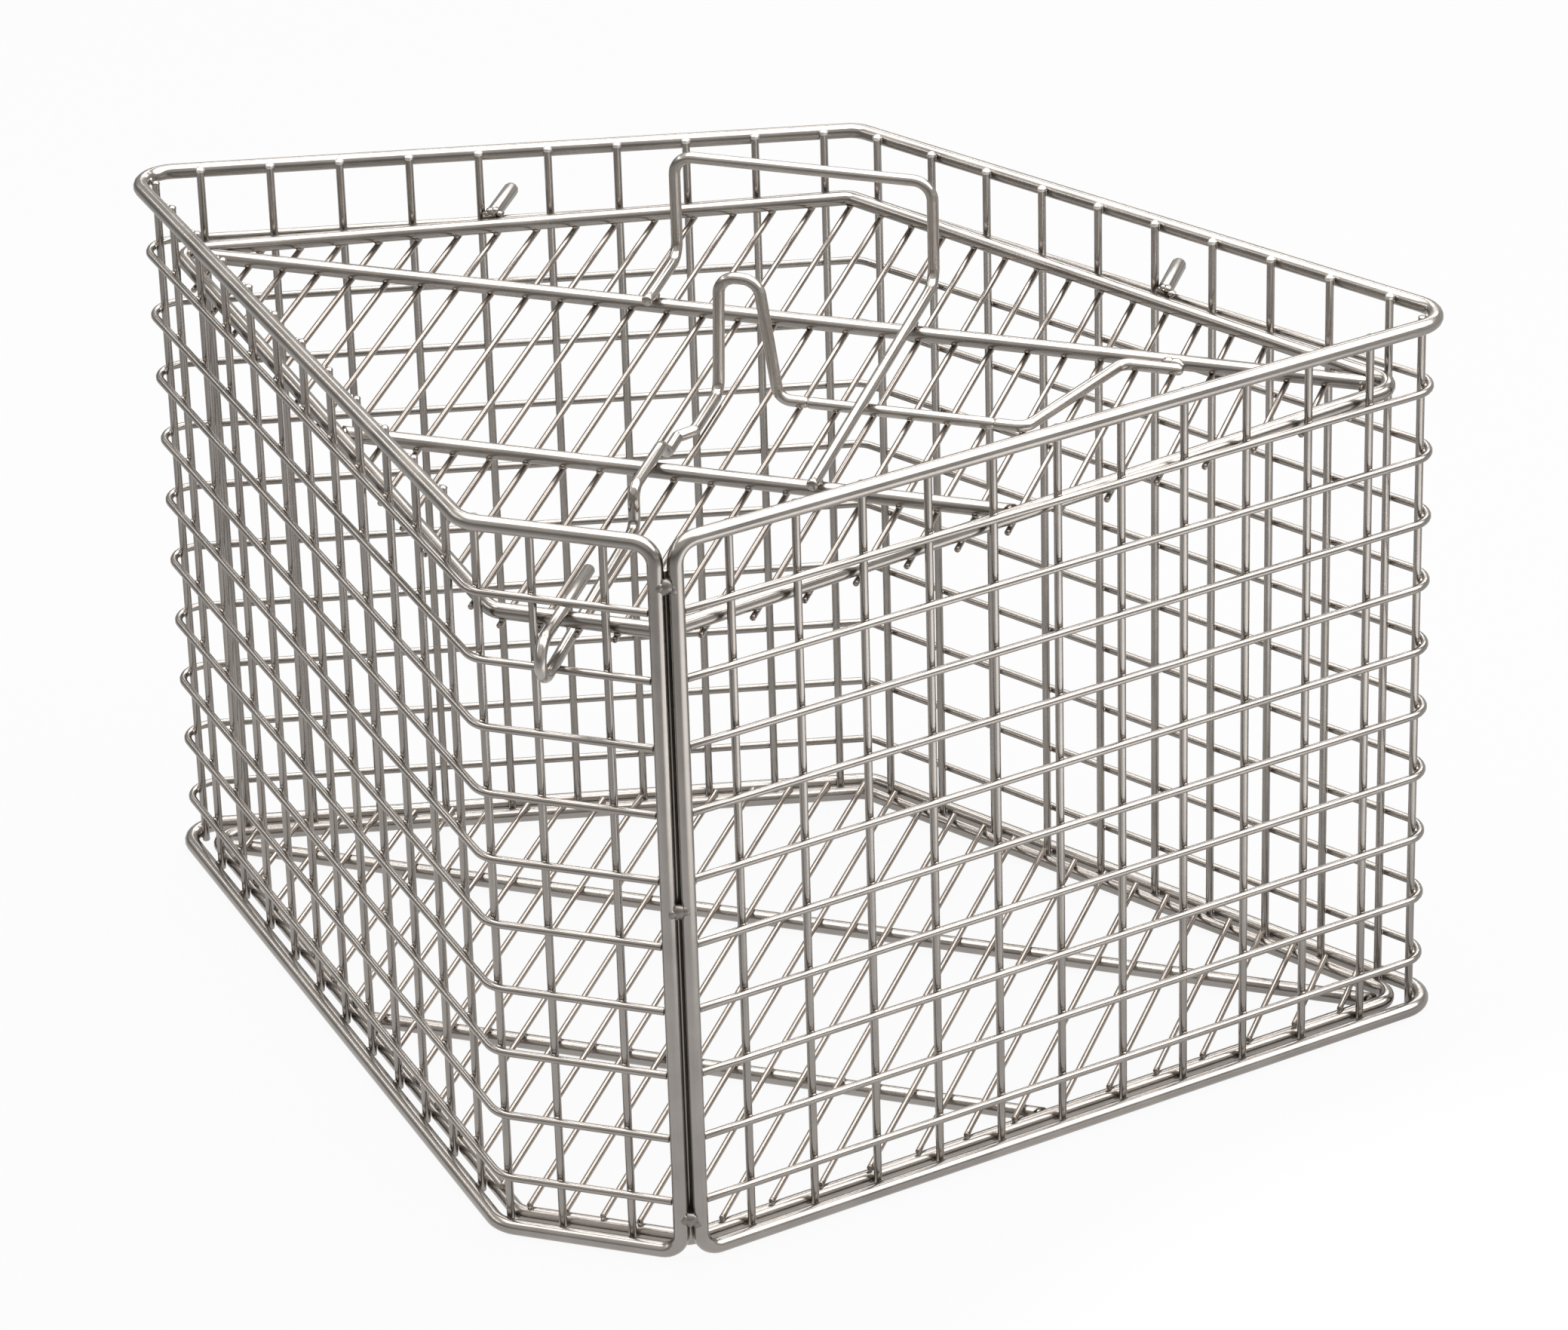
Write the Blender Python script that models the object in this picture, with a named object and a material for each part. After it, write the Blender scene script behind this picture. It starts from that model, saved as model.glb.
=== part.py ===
"""Wedge-shaped wire basket with a hinged wire lid, a carrying handle and a sprung wire latch."""

import math

import bmesh
import bpy
from mathutils import Matrix, Vector

for old in list(bpy.data.objects):
    bpy.data.objects.remove(old, do_unlink=True)

# Wire diameters
FRAME_WIRE = 0.00635
MESH_WIRE = 0.003175
ROD_WIRE = 0.00238125
SPRING_WIRE = 0.0047625

# Clear openings between wires, and the gap that touching pieces keep
MESH_OPENING = 0.0254
ROD_OPENING = 0.0127
SEAT_GAP = 0.0003
WELD_SINK = 0.0005

# Plan of the rim's centre line: front edge, widest line and back point
FRONT_WIDTH = 0.079
WIDEST_ACROSS = 0.558
WIDEST_DEPTH = 0.261
BACK_DEPTH = 0.376

# Heights of the rims from the nearest wall hoop
RIM_RISE = 0.02976
FOOT_DROP = 0.02167
HOOP_COUNT = 10
JOINED_HOOP = 6

# Bends of the wires
FRONT_BEND = 0.015
SIDE_BEND = 0.013
BACK_BEND = 0.0106
SEAM_BEND = 0.0085
RING_BEND = 0.008
RING_FRONT_BEND = 0.0091
SEAM_SPACING = 0.0074
HANDLE_BEND = 0.008
LATCH_BEND = 0.006
DROP_BEND = 0.005

# Wall uprights
BACK_FIRST_UPRIGHT = 0.01245
SIDE_FIRST_UPRIGHT = 0.0274
FRONT_FIRST_UPRIGHT = 0.0223
LAST_UPRIGHT_CLEARANCE = 0.006

# Seam welds, as heights above the lowest hoop, and their half sizes
SEAM_WELD_LEVELS = (0.2700, 0.1320, -0.0060)
WELD_HALF_WIDTH = 0.0034
WELD_HALF_DEPTH = 0.0018
WELD_HALF_HEIGHT = 0.0042

# Lid and floor
LID_CLEARANCE = 0.00267
ROD_END_CLEARANCE = 0.0012
BACK_BAR_OFFSET = 0.0045
LID_FRONT_BAR_DEPTH = 0.1266
FLOOR_BACK_BAR_OFFSET = 0.0115
FLOOR_FRONT_BAR_DEPTH = 0.1316
LID_SLOPE = math.radians(2.94)
LID_RING_RISE = 0.00266
PIN_OUTSIDE = 0.018

# Handle
HANDLE_LEFT = -0.050
HANDLE_RIGHT = 0.0585
HANDLE_BEHIND_BAR = 0.030
HANDLE_HEIGHT = 0.0445
SHORT_FOOT_OVERHANG = 0.0105
LONG_FOOT_OVERHANG = 0.0086

# Latch wire, seen from above, from its weld to its hook
LATCH_WELD_RIGHT = 0.171
LATCH_WELD_LEFT = 0.146
LATCH_TURN_ACROSS = 0.1225
LATCH_RUN_BEFORE_BAR = 0.064
FLEX_RIGHT = 0.110
FLEX_LEFT = 0.034
LOOP_RIGHT = 0.0222
LOOP_TOP_RIGHT = 0.0150
LOOP_TOP_LEFT = -0.0010
LOOP_LEFT = -0.0026
LOOP_HEIGHT = 0.0505
LOOP_BEND = 0.0072
JOG_START_DEPTH = 0.1610
JOG_END_DEPTH = 0.1550
CLIMB_DEPTH = 0.1420
HOOK_ACROSS = -0.0075
DROP_DEPTH = 0.101
HOOK_TIP_ACROSS = -0.0045
HOOK_TURN_DEPTH = -0.0095
HOOK_TIP_DEPTH = 0.040
LATCH_TRAVEL = 0.0186

# Faces around each wire, and steps in a bend
FRAME_SIDES = 12
WIRE_SIDES = 8
ROD_SIDES = 6
BEND_STEPS = 5
TIP_STEPS = 3

# Values that follow from the ones above
FRAME_R = FRAME_WIRE / 2
MESH_R = MESH_WIRE / 2
ROD_R = ROD_WIRE / 2
SPRING_R = SPRING_WIRE / 2
MESH_PITCH = MESH_OPENING + MESH_WIRE
ROD_PITCH = ROD_OPENING + ROD_WIRE
TOP_HOOP = MESH_PITCH * (HOOP_COUNT - 1)
RIM_LEVEL = TOP_HOOP + RIM_RISE
BACK_BAR_DEPTH = WIDEST_DEPTH - BACK_BAR_OFFSET
FLOOR_BACK_BAR_DEPTH = WIDEST_DEPTH - FLOOR_BACK_BAR_OFFSET
HANDLE_DEPTH = BACK_BAR_DEPTH + HANDLE_BEHIND_BAR
SHORT_FOOT_DEPTH = BACK_BAR_DEPTH - SHORT_FOOT_OVERHANG
LONG_FOOT_DEPTH = LID_FRONT_BAR_DEPTH - LONG_FOOT_OVERHANG
LATCH_RUN_DEPTH = BACK_BAR_DEPTH - LATCH_RUN_BEFORE_BAR
FOOT_LEVEL = -FOOT_DROP
HOOP_INSET = MESH_R
UPRIGHT_INSET = FRAME_R + MESH_R + SEAT_GAP
FLOOR_RING_INSET = UPRIGHT_INSET + MESH_R + SEAT_GAP + FRAME_R
LID_RING_INSET = UPRIGHT_INSET + MESH_R + LID_CLEARANCE + FRAME_R
ROD_END_INSET = UPRIGHT_INSET + MESH_R + ROD_R + ROD_END_CLEARANCE
ROD_SEAT = FRAME_R + ROD_R + SEAT_GAP
BAR_SHIFT = SEAT_GAP + WELD_SINK
BAR_TOP_SEAT = FRAME_R + SPRING_R + SEAT_GAP
FRAME_BASE = FRAME_R * math.cos(math.pi / FRAME_SIDES)


def v(x, y, z=0):
    return Vector((x, y, z))


# Plan geometry: the five corners, clockwise from the seam corner
SEAM, FRONT, LEFT, BACK, RIGHT = range(5)
CORNERS = [
    v(FRONT_WIDTH / 2, 0),
    v(-FRONT_WIDTH / 2, 0),
    v(-WIDEST_ACROSS / 2, WIDEST_DEPTH),
    v(0, BACK_DEPTH),
    v(WIDEST_ACROSS / 2, WIDEST_DEPTH),
]


def edge_line(index, inset):
    """A point and direction of the edge from one corner to the next, moved inwards."""
    start = CORNERS[index % 5]
    along = (CORNERS[(index + 1) % 5] - start).normalized()
    inward = v(along.y, -along.x)
    return start + inward * inset, along


def meet(first, second):
    """Where two plan lines, each a point and a direction, cross."""
    (p, d), (q, e) = first, second
    t = ((q.x - p.x) * e.y - (q.y - p.y) * e.x) / (d.x * e.y - d.y * e.x)
    return p + d * t


def inset_corner(index, inset):
    return meet(edge_line(index - 1, inset), edge_line(index, inset))


def inset_outline(inset):
    return [inset_corner(i, inset) for i in range(5)]


def span_at_x(x, inset):
    """Front and back depth of the inset outline along the line across at x."""
    outline = inset_outline(inset)
    found = []
    for i in range(5):
        a = outline[i]
        b = outline[(i + 1) % 5]
        if (a.x - x) * (b.x - x) <= 0 and a.x != b.x:
            found.append(a.y + (b.y - a.y) * (x - a.x) / (b.x - a.x))
    return min(found), max(found)


def bend(points, radii, closed=False):
    """The path through the points with each inner corner rounded to its radius."""
    count = len(points)
    path = []
    for i, p in enumerate(points):
        if not closed and i in (0, count - 1):
            path.append(p.copy())
            continue
        before = (p - points[i - 1]).normalized()
        after = (points[(i + 1) % count] - p).normalized()
        turn = before.angle(after)
        reach = radii[i] * math.tan(turn / 2)
        axis = before.cross(after).normalized()
        centre = p - before * reach + axis.cross(before) * radii[i]
        arm = p - before * reach - centre
        for step in range(BEND_STEPS + 1):
            path.append(centre + Matrix.Rotation(turn * step / BEND_STEPS, 3, axis) @ arm)
    return path


def wire_mesh(bm, path, radius, sides, closed=False, cuts=(None, None), round_ends=(False, False)):
    """Adds one closed tube along the path; a cut is the normal of the plane that ends it."""
    path = [p.copy() for p in path]
    radii = [radius] * len(path)
    for end in (0, 1):
        if round_ends[end]:
            tip = path[-1] if end else path[0]
            out = (tip - (path[-2] if end else path[1])).normalized()
            steps = [(math.pi / 2) * (k + 1) / (TIP_STEPS + 1) for k in range(TIP_STEPS)]
            extra = [tip + out * radius * (math.sin(a) - 1) for a in steps]
            base = tip - out * radius
            if end:
                path = path[:-1] + [base] + extra
                radii = radii + [radius * math.cos(a) for a in steps]
            else:
                path = extra[::-1] + [base] + path[1:]
                radii = [radius * math.cos(a) for a in steps[::-1]] + radii
    count = len(path)
    rings = []
    normal = None
    for i, p in enumerate(path):
        if closed:
            tangent = (path[(i + 1) % count] - path[i - 1]).normalized()
        else:
            tangent = (path[min(i + 1, count - 1)] - path[max(i - 1, 0)]).normalized()
        if normal is None:
            reference = v(0, 0, 1) if abs(tangent.z) < 0.9 else v(0, 1)
            normal = reference
        normal = (normal - tangent * normal.dot(tangent)).normalized()
        side = tangent.cross(normal)
        stretch = 1
        if closed or 0 < i < count - 1:
            leg = (p - path[i - 1]).normalized()
            stretch = 1 / max(leg.dot(tangent), 0.5)
            bent = (leg - tangent * leg.dot(tangent))
            bent = bent.normalized() if bent.length > 0 else bent
        ring = []
        for k in range(sides):
            angle = 2 * math.pi * (k + 0.5) / sides
            offset = (normal * math.cos(angle) + side * math.sin(angle)) * radii[i]
            if stretch > 1:
                offset = offset + bent * offset.dot(bent) * (stretch - 1)
            ring.append(p + offset)
        rings.append(ring)
        last_tangent = tangent
    if not closed:
        for end, cut in enumerate(cuts):
            if cut is None:
                continue
            i = -1 if end else 0
            along = (path[1] - path[0]).normalized() if end == 0 else last_tangent
            rings[i] = [q - along * ((q - path[i]).dot(cut) / along.dot(cut)) for q in rings[i]]
    verts = [[bm.verts.new(q) for q in ring] for ring in rings]
    pairs = list(range(count)) if closed else list(range(count - 1))
    for i in pairs:
        here = verts[i]
        there = verts[(i + 1) % count]
        for k in range(sides):
            m = (k + 1) % sides
            bm.faces.new((here[k], here[m], there[m], there[k]))
    if not closed:
        bm.faces.new(verts[0][::-1])
        bm.faces.new(verts[-1])


def steel(name, tint, roughness):
    material = bpy.data.materials.new(name + "_steel")
    material.use_nodes = True
    shader = material.node_tree.nodes["Principled BSDF"]
    shader.inputs["Base Color"].default_value = (*tint, 1)
    shader.inputs["Metallic"].default_value = 1
    shader.inputs["Roughness"].default_value = roughness
    return material


FRAME_TINT = (0.60, 0.59, 0.57)
MESH_TINT = (0.58, 0.57, 0.55)
ROD_TINT = (0.62, 0.58, 0.54)


def piece(name, parent, wires, tint=FRAME_TINT, guide=False):
    """One object made of the listed wires; each wire is the arguments of wire_mesh."""
    mesh = bpy.data.meshes.new(name)
    bm = bmesh.new()
    for wire in wires:
        wire_mesh(bm, **wire)
    bmesh.ops.recalc_face_normals(bm, faces=bm.faces)
    bm.to_mesh(mesh)
    bm.free()
    made = bpy.data.objects.new(name, mesh)
    bpy.context.scene.collection.objects.link(made)
    made.parent = parent
    if guide:
        made.hide_render = True
        made.display_type = "WIRE"
    else:
        mesh.materials.append(steel(name, tint, 0.22))
        mesh.shade_smooth()
        mesh.set_sharp_from_angle(angle=math.radians(50))
    return made


def join_to(target, guide):
    union = target.modifiers.new("welded", "BOOLEAN")
    union.operation = "UNION"
    union.solver = "EXACT"
    union.object = guide


# Where the hinge pins cross the top hoop, and the line that the lid turns on
upright_line = bend(inset_outline(UPRIGHT_INSET), [
    FRONT_BEND - UPRIGHT_INSET,
    FRONT_BEND - UPRIGHT_INSET,
    SIDE_BEND - UPRIGHT_INSET,
    BACK_BEND - UPRIGHT_INSET,
    SIDE_BEND - UPRIGHT_INSET,
], closed=True)


def nearest_on(path, p):
    best = None
    for i, a in enumerate(path):
        leg = path[(i + 1) % len(path)] - a
        t = max(0, min(1, (p - a).dot(leg) / leg.length_squared)) if leg.length > 0 else 0
        q = a + leg * t
        if best is None or (q - p).length < (best - p).length:
            best = q
    return best


def upright_at(corner, towards, distance):
    start = inset_corner(corner, UPRIGHT_INSET)
    along = (inset_corner(towards, UPRIGHT_INSET) - start).normalized()
    return nearest_on(upright_line, start + along * distance)


def uprights_along(corner, towards, first):
    """Uprights one pitch apart along a wall, as far as its other corner allows."""
    length = (inset_corner(towards, UPRIGHT_INSET) - inset_corner(corner, UPRIGHT_INSET)).length
    steps = int((length - first - LAST_UPRIGHT_CLEARANCE) / MESH_PITCH)
    return [upright_at(corner, towards, first + MESH_PITCH * k) for k in range(steps + 1)]


uprights = uprights_along(BACK, LEFT, BACK_FIRST_UPRIGHT)
left_back_count = len(uprights)
uprights += uprights_along(BACK, RIGHT, BACK_FIRST_UPRIGHT)
uprights += uprights_along(FRONT, LEFT, SIDE_FIRST_UPRIGHT)
uprights += uprights_along(SEAM, RIGHT, SIDE_FIRST_UPRIGHT)
uprights += uprights_along(FRONT, SEAM, FRONT_FIRST_UPRIGHT)
uprights.append(upright_at(FRONT, SEAM, 0))

# The hinge pins lie against the sixth upright of each back wall, on its right
PIN_UPRIGHT = 5
PIN_REACH = MESH_R + FRAME_R + SEAT_GAP
pin_left_x = uprights[PIN_UPRIGHT].x + PIN_REACH
pin_right_x = uprights[left_back_count + PIN_UPRIGHT].x + PIN_REACH
hinge_left = v(pin_left_x, span_at_x(pin_left_x, HOOP_INSET)[1], TOP_HOOP)
hinge_right = v(pin_right_x, span_at_x(pin_right_x, HOOP_INSET)[1], TOP_HOOP)
hinge_share = -hinge_left.x / (hinge_right.x - hinge_left.x)
HINGE = hinge_left.lerp(hinge_right, hinge_share)
PIN_LEVEL = MESH_R + FRAME_R + SEAT_GAP


def on_lid(x, y, level):
    """A point of the lid's own frame from its plan place and its height over the ring's plane."""
    height = LID_RING_RISE + level
    return v(x, (y - HINGE.y + height * math.sin(LID_SLOPE)) / math.cos(LID_SLOPE), height)


# Levels of the latch over the lid ring's plane, and the middle of the whole box in plan
LATCH_LEVEL = -ROD_SEAT + ROD_R + SPRING_R + SEAT_GAP
top_hoop_to_leg = -MESH_PITCH + MESH_R + SPRING_R + SEAT_GAP
leg_back = (HINGE.y - HOOP_INSET) * math.tan(LID_SLOPE)
LEG_LEVEL = (top_hoop_to_leg + leg_back) * math.cos(LID_SLOPE) - LID_RING_RISE
HOOK_LEVEL = BAR_TOP_SEAT
HOOK_TURN_R = (HOOK_LEVEL - LEG_LEVEL) / 2
front_reach = HOOK_TURN_DEPTH - HOOK_TURN_R - SPRING_R
back_turn = (CORNERS[BACK] - CORNERS[LEFT]).angle(CORNERS[RIGHT] - CORNERS[BACK])
back_reach = BACK_DEPTH - BACK_BEND * (1 / math.cos(back_turn / 2) - 1) + FRAME_R
ORIGIN = v(0, -(front_reach + back_reach) / 2, FOOT_DROP + FRAME_BASE)


def empty(name, parent, place, slope=0):
    made = bpy.data.objects.new(name, None)
    bpy.context.scene.collection.objects.link(made)
    made.parent = parent
    made.location = place
    made.rotation_euler = (slope, 0, 0)
    return made


row = empty("row_origin", None, ORIGIN)
lid = empty("lid_axis", row, HINGE, LID_SLOPE)

# Frame wire: top rim, both seam wires and bottom rim, one closed loop
seam_turn = (CORNERS[FRONT] - CORNERS[SEAM]).angle(CORNERS[RIGHT] - CORNERS[SEAM])
seam_step = SEAM_SPACING / 2 / math.sin(seam_turn / 2)
seam_left = CORNERS[SEAM] + (CORNERS[FRONT] - CORNERS[SEAM]).normalized() * seam_step
seam_right = CORNERS[SEAM] + (CORNERS[RIGHT] - CORNERS[SEAM]).normalized() * seam_step
rim_order = [seam_left, CORNERS[FRONT], CORNERS[LEFT], CORNERS[BACK], CORNERS[RIGHT], seam_right]
rim_bends = [SEAM_BEND, FRONT_BEND, SIDE_BEND, BACK_BEND, SIDE_BEND, SEAM_BEND]
loop = [p + v(0, 0, RIM_LEVEL) for p in rim_order] + [p + v(0, 0, FOOT_LEVEL) for p in rim_order[::-1]]
frame_path = bend(loop, rim_bends + rim_bends[::-1], closed=True)
frame = piece("frame_wire", row, [dict(path=frame_path, radius=FRAME_R, sides=FRAME_SIDES, closed=True)])

# Seam welds, sunk in the groove between the two seam wires
seam_middle = (seam_left + seam_right) / 2
outward = -(inset_corner(SEAM, SEAM_SPACING) - CORNERS[SEAM]).normalized()
weld_mesh = bpy.data.meshes.new("seam_welds")
weld_bm = bmesh.new()
for level in SEAM_WELD_LEVELS:
    facing = Matrix.Rotation(math.atan2(outward.x, -outward.y), 4, "Z")
    place = Matrix.Translation(seam_middle + outward * FRAME_R / 2 + v(0, 0, level))
    size = Matrix.Diagonal((WELD_HALF_WIDTH, WELD_HALF_DEPTH, WELD_HALF_HEIGHT, 1))
    bmesh.ops.create_uvsphere(weld_bm, u_segments=12, v_segments=8, radius=1, matrix=place @ facing @ size)
weld_bm.to_mesh(weld_mesh)
weld_bm.free()
welds = bpy.data.objects.new("seam_welds", weld_mesh)
bpy.context.scene.collection.objects.link(welds)
welds.parent = row
welds.hide_render = True
welds.display_type = "WIRE"
join_to(frame, welds)


# Wall mesh: ten hoops outside the uprights, from one seam wire round to the other
def hoop_path(level, inset):
    end_gap = FRAME_R + SEAT_GAP
    first = meet(edge_line(SEAM, inset), (seam_left - v(end_gap, 0), v(0, 1)))
    along = (CORNERS[RIGHT] - CORNERS[SEAM]).normalized()
    last = meet(edge_line(RIGHT, inset), (seam_right + along * end_gap, v(-along.y, along.x)))
    middle = [inset_corner(i, inset) for i in (FRONT, LEFT, BACK, RIGHT)]
    radii = [0, FRONT_BEND - inset, SIDE_BEND - inset, BACK_BEND - inset, SIDE_BEND - inset, 0]
    return bend([p + v(0, 0, level) for p in [first] + middle + [last]], radii)


joined_inset = UPRIGHT_INSET - (MESH_R * 2 - WELD_SINK)
for number in range(1, HOOP_COUNT + 1):
    level = TOP_HOOP - MESH_PITCH * (number - 1)
    if number == JOINED_HOOP:
        hoop = [dict(path=hoop_path(level, joined_inset), radius=MESH_R, sides=WIRE_SIDES)]
        wall = piece("wall_uprights", row, hoop, MESH_TINT)
    else:
        hoop = [dict(path=hoop_path(level, HOOP_INSET), radius=MESH_R, sides=WIRE_SIDES)]
        piece(f"wall_hoop_{number:02d}", row, hoop, MESH_TINT)

upright_wires = []
for p in uprights:
    ends = [p + v(0, 0, FOOT_LEVEL - FRAME_BASE + SEAT_GAP), p + v(0, 0, RIM_LEVEL + FRAME_R)]
    upright_wires.append(dict(path=ends, radius=MESH_R, sides=WIRE_SIDES))
join_to(wall, piece("upright_wires", row, upright_wires, guide=True))


# Floor and lid grilles: a ring, rods from front to back and two crossbars
def ring_path(inset, place):
    radii = [RING_FRONT_BEND, RING_FRONT_BEND, RING_BEND, RING_BEND, RING_BEND]
    return bend([place(p.x, p.y) for p in inset_outline(inset)], radii, closed=True)


def bar_end(depth, ring_line):
    """How far across a crossbar reaches before its cut end meets the ring, and the cut."""
    near = 0
    far = 0
    for i, a in enumerate(ring_line):
        b = ring_line[i - 1]
        if (a.y - depth) * (b.y - depth) <= 0 and a.y != b.y:
            far = max(far, b.x + (a.x - b.x) * (depth - b.y) / (a.y - b.y))
    for halving in range(30):
        x = (near + far) / 2
        middle = v(x, depth)
        cut = (nearest_on(ring_line, middle) - middle).normalized()
        slant = cut.y / cut.x
        ends = [v(x - slant * side, depth + side) for side in (-FRAME_R, 0, FRAME_R)]
        gap = min((nearest_on(ring_line, p) - p).length for p in ends)
        if gap > FRAME_R + SEAT_GAP:
            near = x
        else:
            far = x
    return near, cut


def bar_wire(depth, ring_inset, place):
    """A crossbar whose ends are cut along the ring's sides, just short of it."""
    reach, cut = bar_end(depth, ring_path(ring_inset, v))
    cuts = (place(-cut.x, cut.y) - place(0, 0), place(cut.x, cut.y) - place(0, 0))
    path = [place(-reach, depth), place(reach, depth)]
    return dict(path=path, radius=FRAME_R, sides=FRAME_SIDES, cuts=cuts)


def rod_wires(place, ring_inset, bar_depth):
    """Rods one pitch apart, as many each side as the joined crossbar carries."""
    reach = bar_end(bar_depth, ring_path(ring_inset, v))[0]
    each_side = int((reach - ROD_R - WELD_SINK) / ROD_PITCH)
    wires = []
    for k in range(-each_side, each_side + 1):
        x = ROD_PITCH * k
        front, back = span_at_x(x, ROD_END_INSET)
        wires.append(dict(path=[place(x, front), place(x, back)], radius=ROD_R, sides=ROD_SIDES))
    return wires


def floor_place(rise):
    return lambda x, y: v(x, y, FOOT_LEVEL + rise)


def lid_place(rise):
    return lambda x, y: on_lid(x, y, rise)


floor_ring = dict(path=ring_path(FLOOR_RING_INSET, floor_place(0)), radius=FRAME_R, sides=FRAME_SIDES, closed=True)
piece("floor_ring", row, [floor_ring])
floor_bar = bar_wire(FLOOR_FRONT_BAR_DEPTH, FLOOR_RING_INSET, floor_place(0))
piece("floor_crossbar", row, [floor_bar])
floor_joined = bar_wire(FLOOR_BACK_BAR_DEPTH, FLOOR_RING_INSET, floor_place(BAR_SHIFT))
floor_rods = piece("floor_rods", row, [floor_joined], ROD_TINT)
floor_rod_wires = rod_wires(floor_place(ROD_SEAT), FLOOR_RING_INSET, FLOOR_BACK_BAR_DEPTH)
join_to(floor_rods, piece("floor_rod_wires", row, floor_rod_wires, guide=True))

lid_ring = dict(path=ring_path(LID_RING_INSET, lid_place(0)), radius=FRAME_R, sides=FRAME_SIDES, closed=True)
piece("lid_ring", lid, [lid_ring])
lid_bar = bar_wire(LID_FRONT_BAR_DEPTH, LID_RING_INSET, lid_place(0))
piece("lid_crossbar", lid, [lid_bar])
lid_joined = bar_wire(BACK_BAR_DEPTH, LID_RING_INSET, lid_place(-BAR_SHIFT))
lid_rods = piece("lid_rods", lid, [lid_joined], ROD_TINT)
lid_rod_wires = rod_wires(lid_place(-ROD_SEAT), LID_RING_INSET, BACK_BAR_DEPTH)
join_to(lid_rods, piece("lid_rod_wires", lid, lid_rod_wires, guide=True))

# Hinge pins: from the ring's back side out through the mesh, over the top hoop
for name, x, edge in (("hinge_pin_left", pin_left_x, LEFT), ("hinge_pin_right", pin_right_x, BACK)):
    pin_rise = PIN_LEVEL - LID_RING_RISE
    start = span_at_x(x, LID_RING_INSET - FRAME_R - SEAT_GAP)[1]
    tip = span_at_x(x, 0)[1] + PIN_OUTSIDE
    along = edge_line(edge, 0)[1]
    cut = v(-along.y, along.x)
    pin = dict(path=[on_lid(x, start, pin_rise), on_lid(x, tip, pin_rise)], radius=FRAME_R, sides=FRAME_SIDES)
    piece(name, lid, [dict(pin, cuts=(cut, None), round_ends=(False, True))])

# Handle: grip, two legs and two feet along the crossbars' tops
foot = BAR_TOP_SEAT
grip = foot + HANDLE_HEIGHT
handle_path = bend([
    on_lid(HANDLE_LEFT, SHORT_FOOT_DEPTH, foot),
    on_lid(HANDLE_LEFT, HANDLE_DEPTH, foot),
    on_lid(HANDLE_LEFT, HANDLE_DEPTH, grip),
    on_lid(HANDLE_RIGHT, HANDLE_DEPTH, grip),
    on_lid(HANDLE_RIGHT, HANDLE_DEPTH, foot),
    on_lid(HANDLE_RIGHT, LONG_FOOT_DEPTH, foot),
], [HANDLE_BEND] * 6)
piece("handle", lid, [dict(path=handle_path, radius=SPRING_R, sides=WIRE_SIDES)])

# Latch: one springy wire, parted where it flexes so that its ends can turn
FLEX_TURN = math.asin(LATCH_TRAVEL / (FLEX_RIGHT - FLEX_LEFT))
FLEX_GAP = SPRING_R * math.sin(FLEX_TURN) + SEAT_GAP
weld_depth = BACK_BAR_DEPTH - FRAME_R - SPRING_R - SEAT_GAP


def latch_point(x, y, level=LATCH_LEVEL):
    return on_lid(x, y, level)


root_path = bend([
    latch_point(LATCH_WELD_RIGHT, weld_depth),
    latch_point(LATCH_WELD_LEFT, weld_depth),
    latch_point(LATCH_TURN_ACROSS, LATCH_RUN_DEPTH),
    latch_point(FLEX_RIGHT + FLEX_GAP / 2, LATCH_RUN_DEPTH),
], [LATCH_BEND] * 4)
piece("latch_root", lid, [dict(path=root_path, radius=SPRING_R, sides=WIRE_SIDES)])

arm_axis = empty("latch_arm_axis", lid, latch_point(FLEX_RIGHT, LATCH_RUN_DEPTH))
arm_path = [v(-FLEX_GAP / 2, 0), v(FLEX_LEFT - FLEX_RIGHT + FLEX_GAP / 2, 0)]
piece("latch_arm", arm_axis, [dict(path=arm_path, radius=SPRING_R, sides=WIRE_SIDES)])

hook_start = latch_point(FLEX_LEFT, LATCH_RUN_DEPTH)
hook_axis = empty("latch_hook_axis", arm_axis, hook_start - latch_point(FLEX_RIGHT, LATCH_RUN_DEPTH))
loop_top = LATCH_LEVEL + LOOP_HEIGHT
hook_points = [
    latch_point(FLEX_LEFT - FLEX_GAP / 2, LATCH_RUN_DEPTH),
    latch_point(LOOP_RIGHT, LATCH_RUN_DEPTH),
    latch_point(LOOP_TOP_RIGHT, LATCH_RUN_DEPTH, loop_top),
    latch_point(LOOP_TOP_LEFT, LATCH_RUN_DEPTH, loop_top),
    latch_point(LOOP_LEFT, LATCH_RUN_DEPTH),
    latch_point(LOOP_LEFT, JOG_START_DEPTH),
    latch_point(HOOK_ACROSS, JOG_END_DEPTH),
    latch_point(HOOK_ACROSS, CLIMB_DEPTH),
    latch_point(HOOK_ACROSS, CLIMB_DEPTH - HOOK_LEVEL + LATCH_LEVEL, HOOK_LEVEL),
    latch_point(HOOK_ACROSS, DROP_DEPTH, HOOK_LEVEL),
    latch_point(HOOK_ACROSS, DROP_DEPTH, LEG_LEVEL),
    latch_point(HOOK_TIP_ACROSS, HOOK_TURN_DEPTH - HOOK_TURN_R, LEG_LEVEL),
    latch_point(HOOK_TIP_ACROSS, HOOK_TURN_DEPTH - HOOK_TURN_R, HOOK_LEVEL),
    latch_point(HOOK_TIP_ACROSS, HOOK_TIP_DEPTH, HOOK_LEVEL),
]
turn_share = 0.999
hook_bends = [0, LATCH_BEND, LOOP_BEND, LOOP_BEND, LATCH_BEND, LATCH_BEND / 2, LATCH_BEND / 2]
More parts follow.
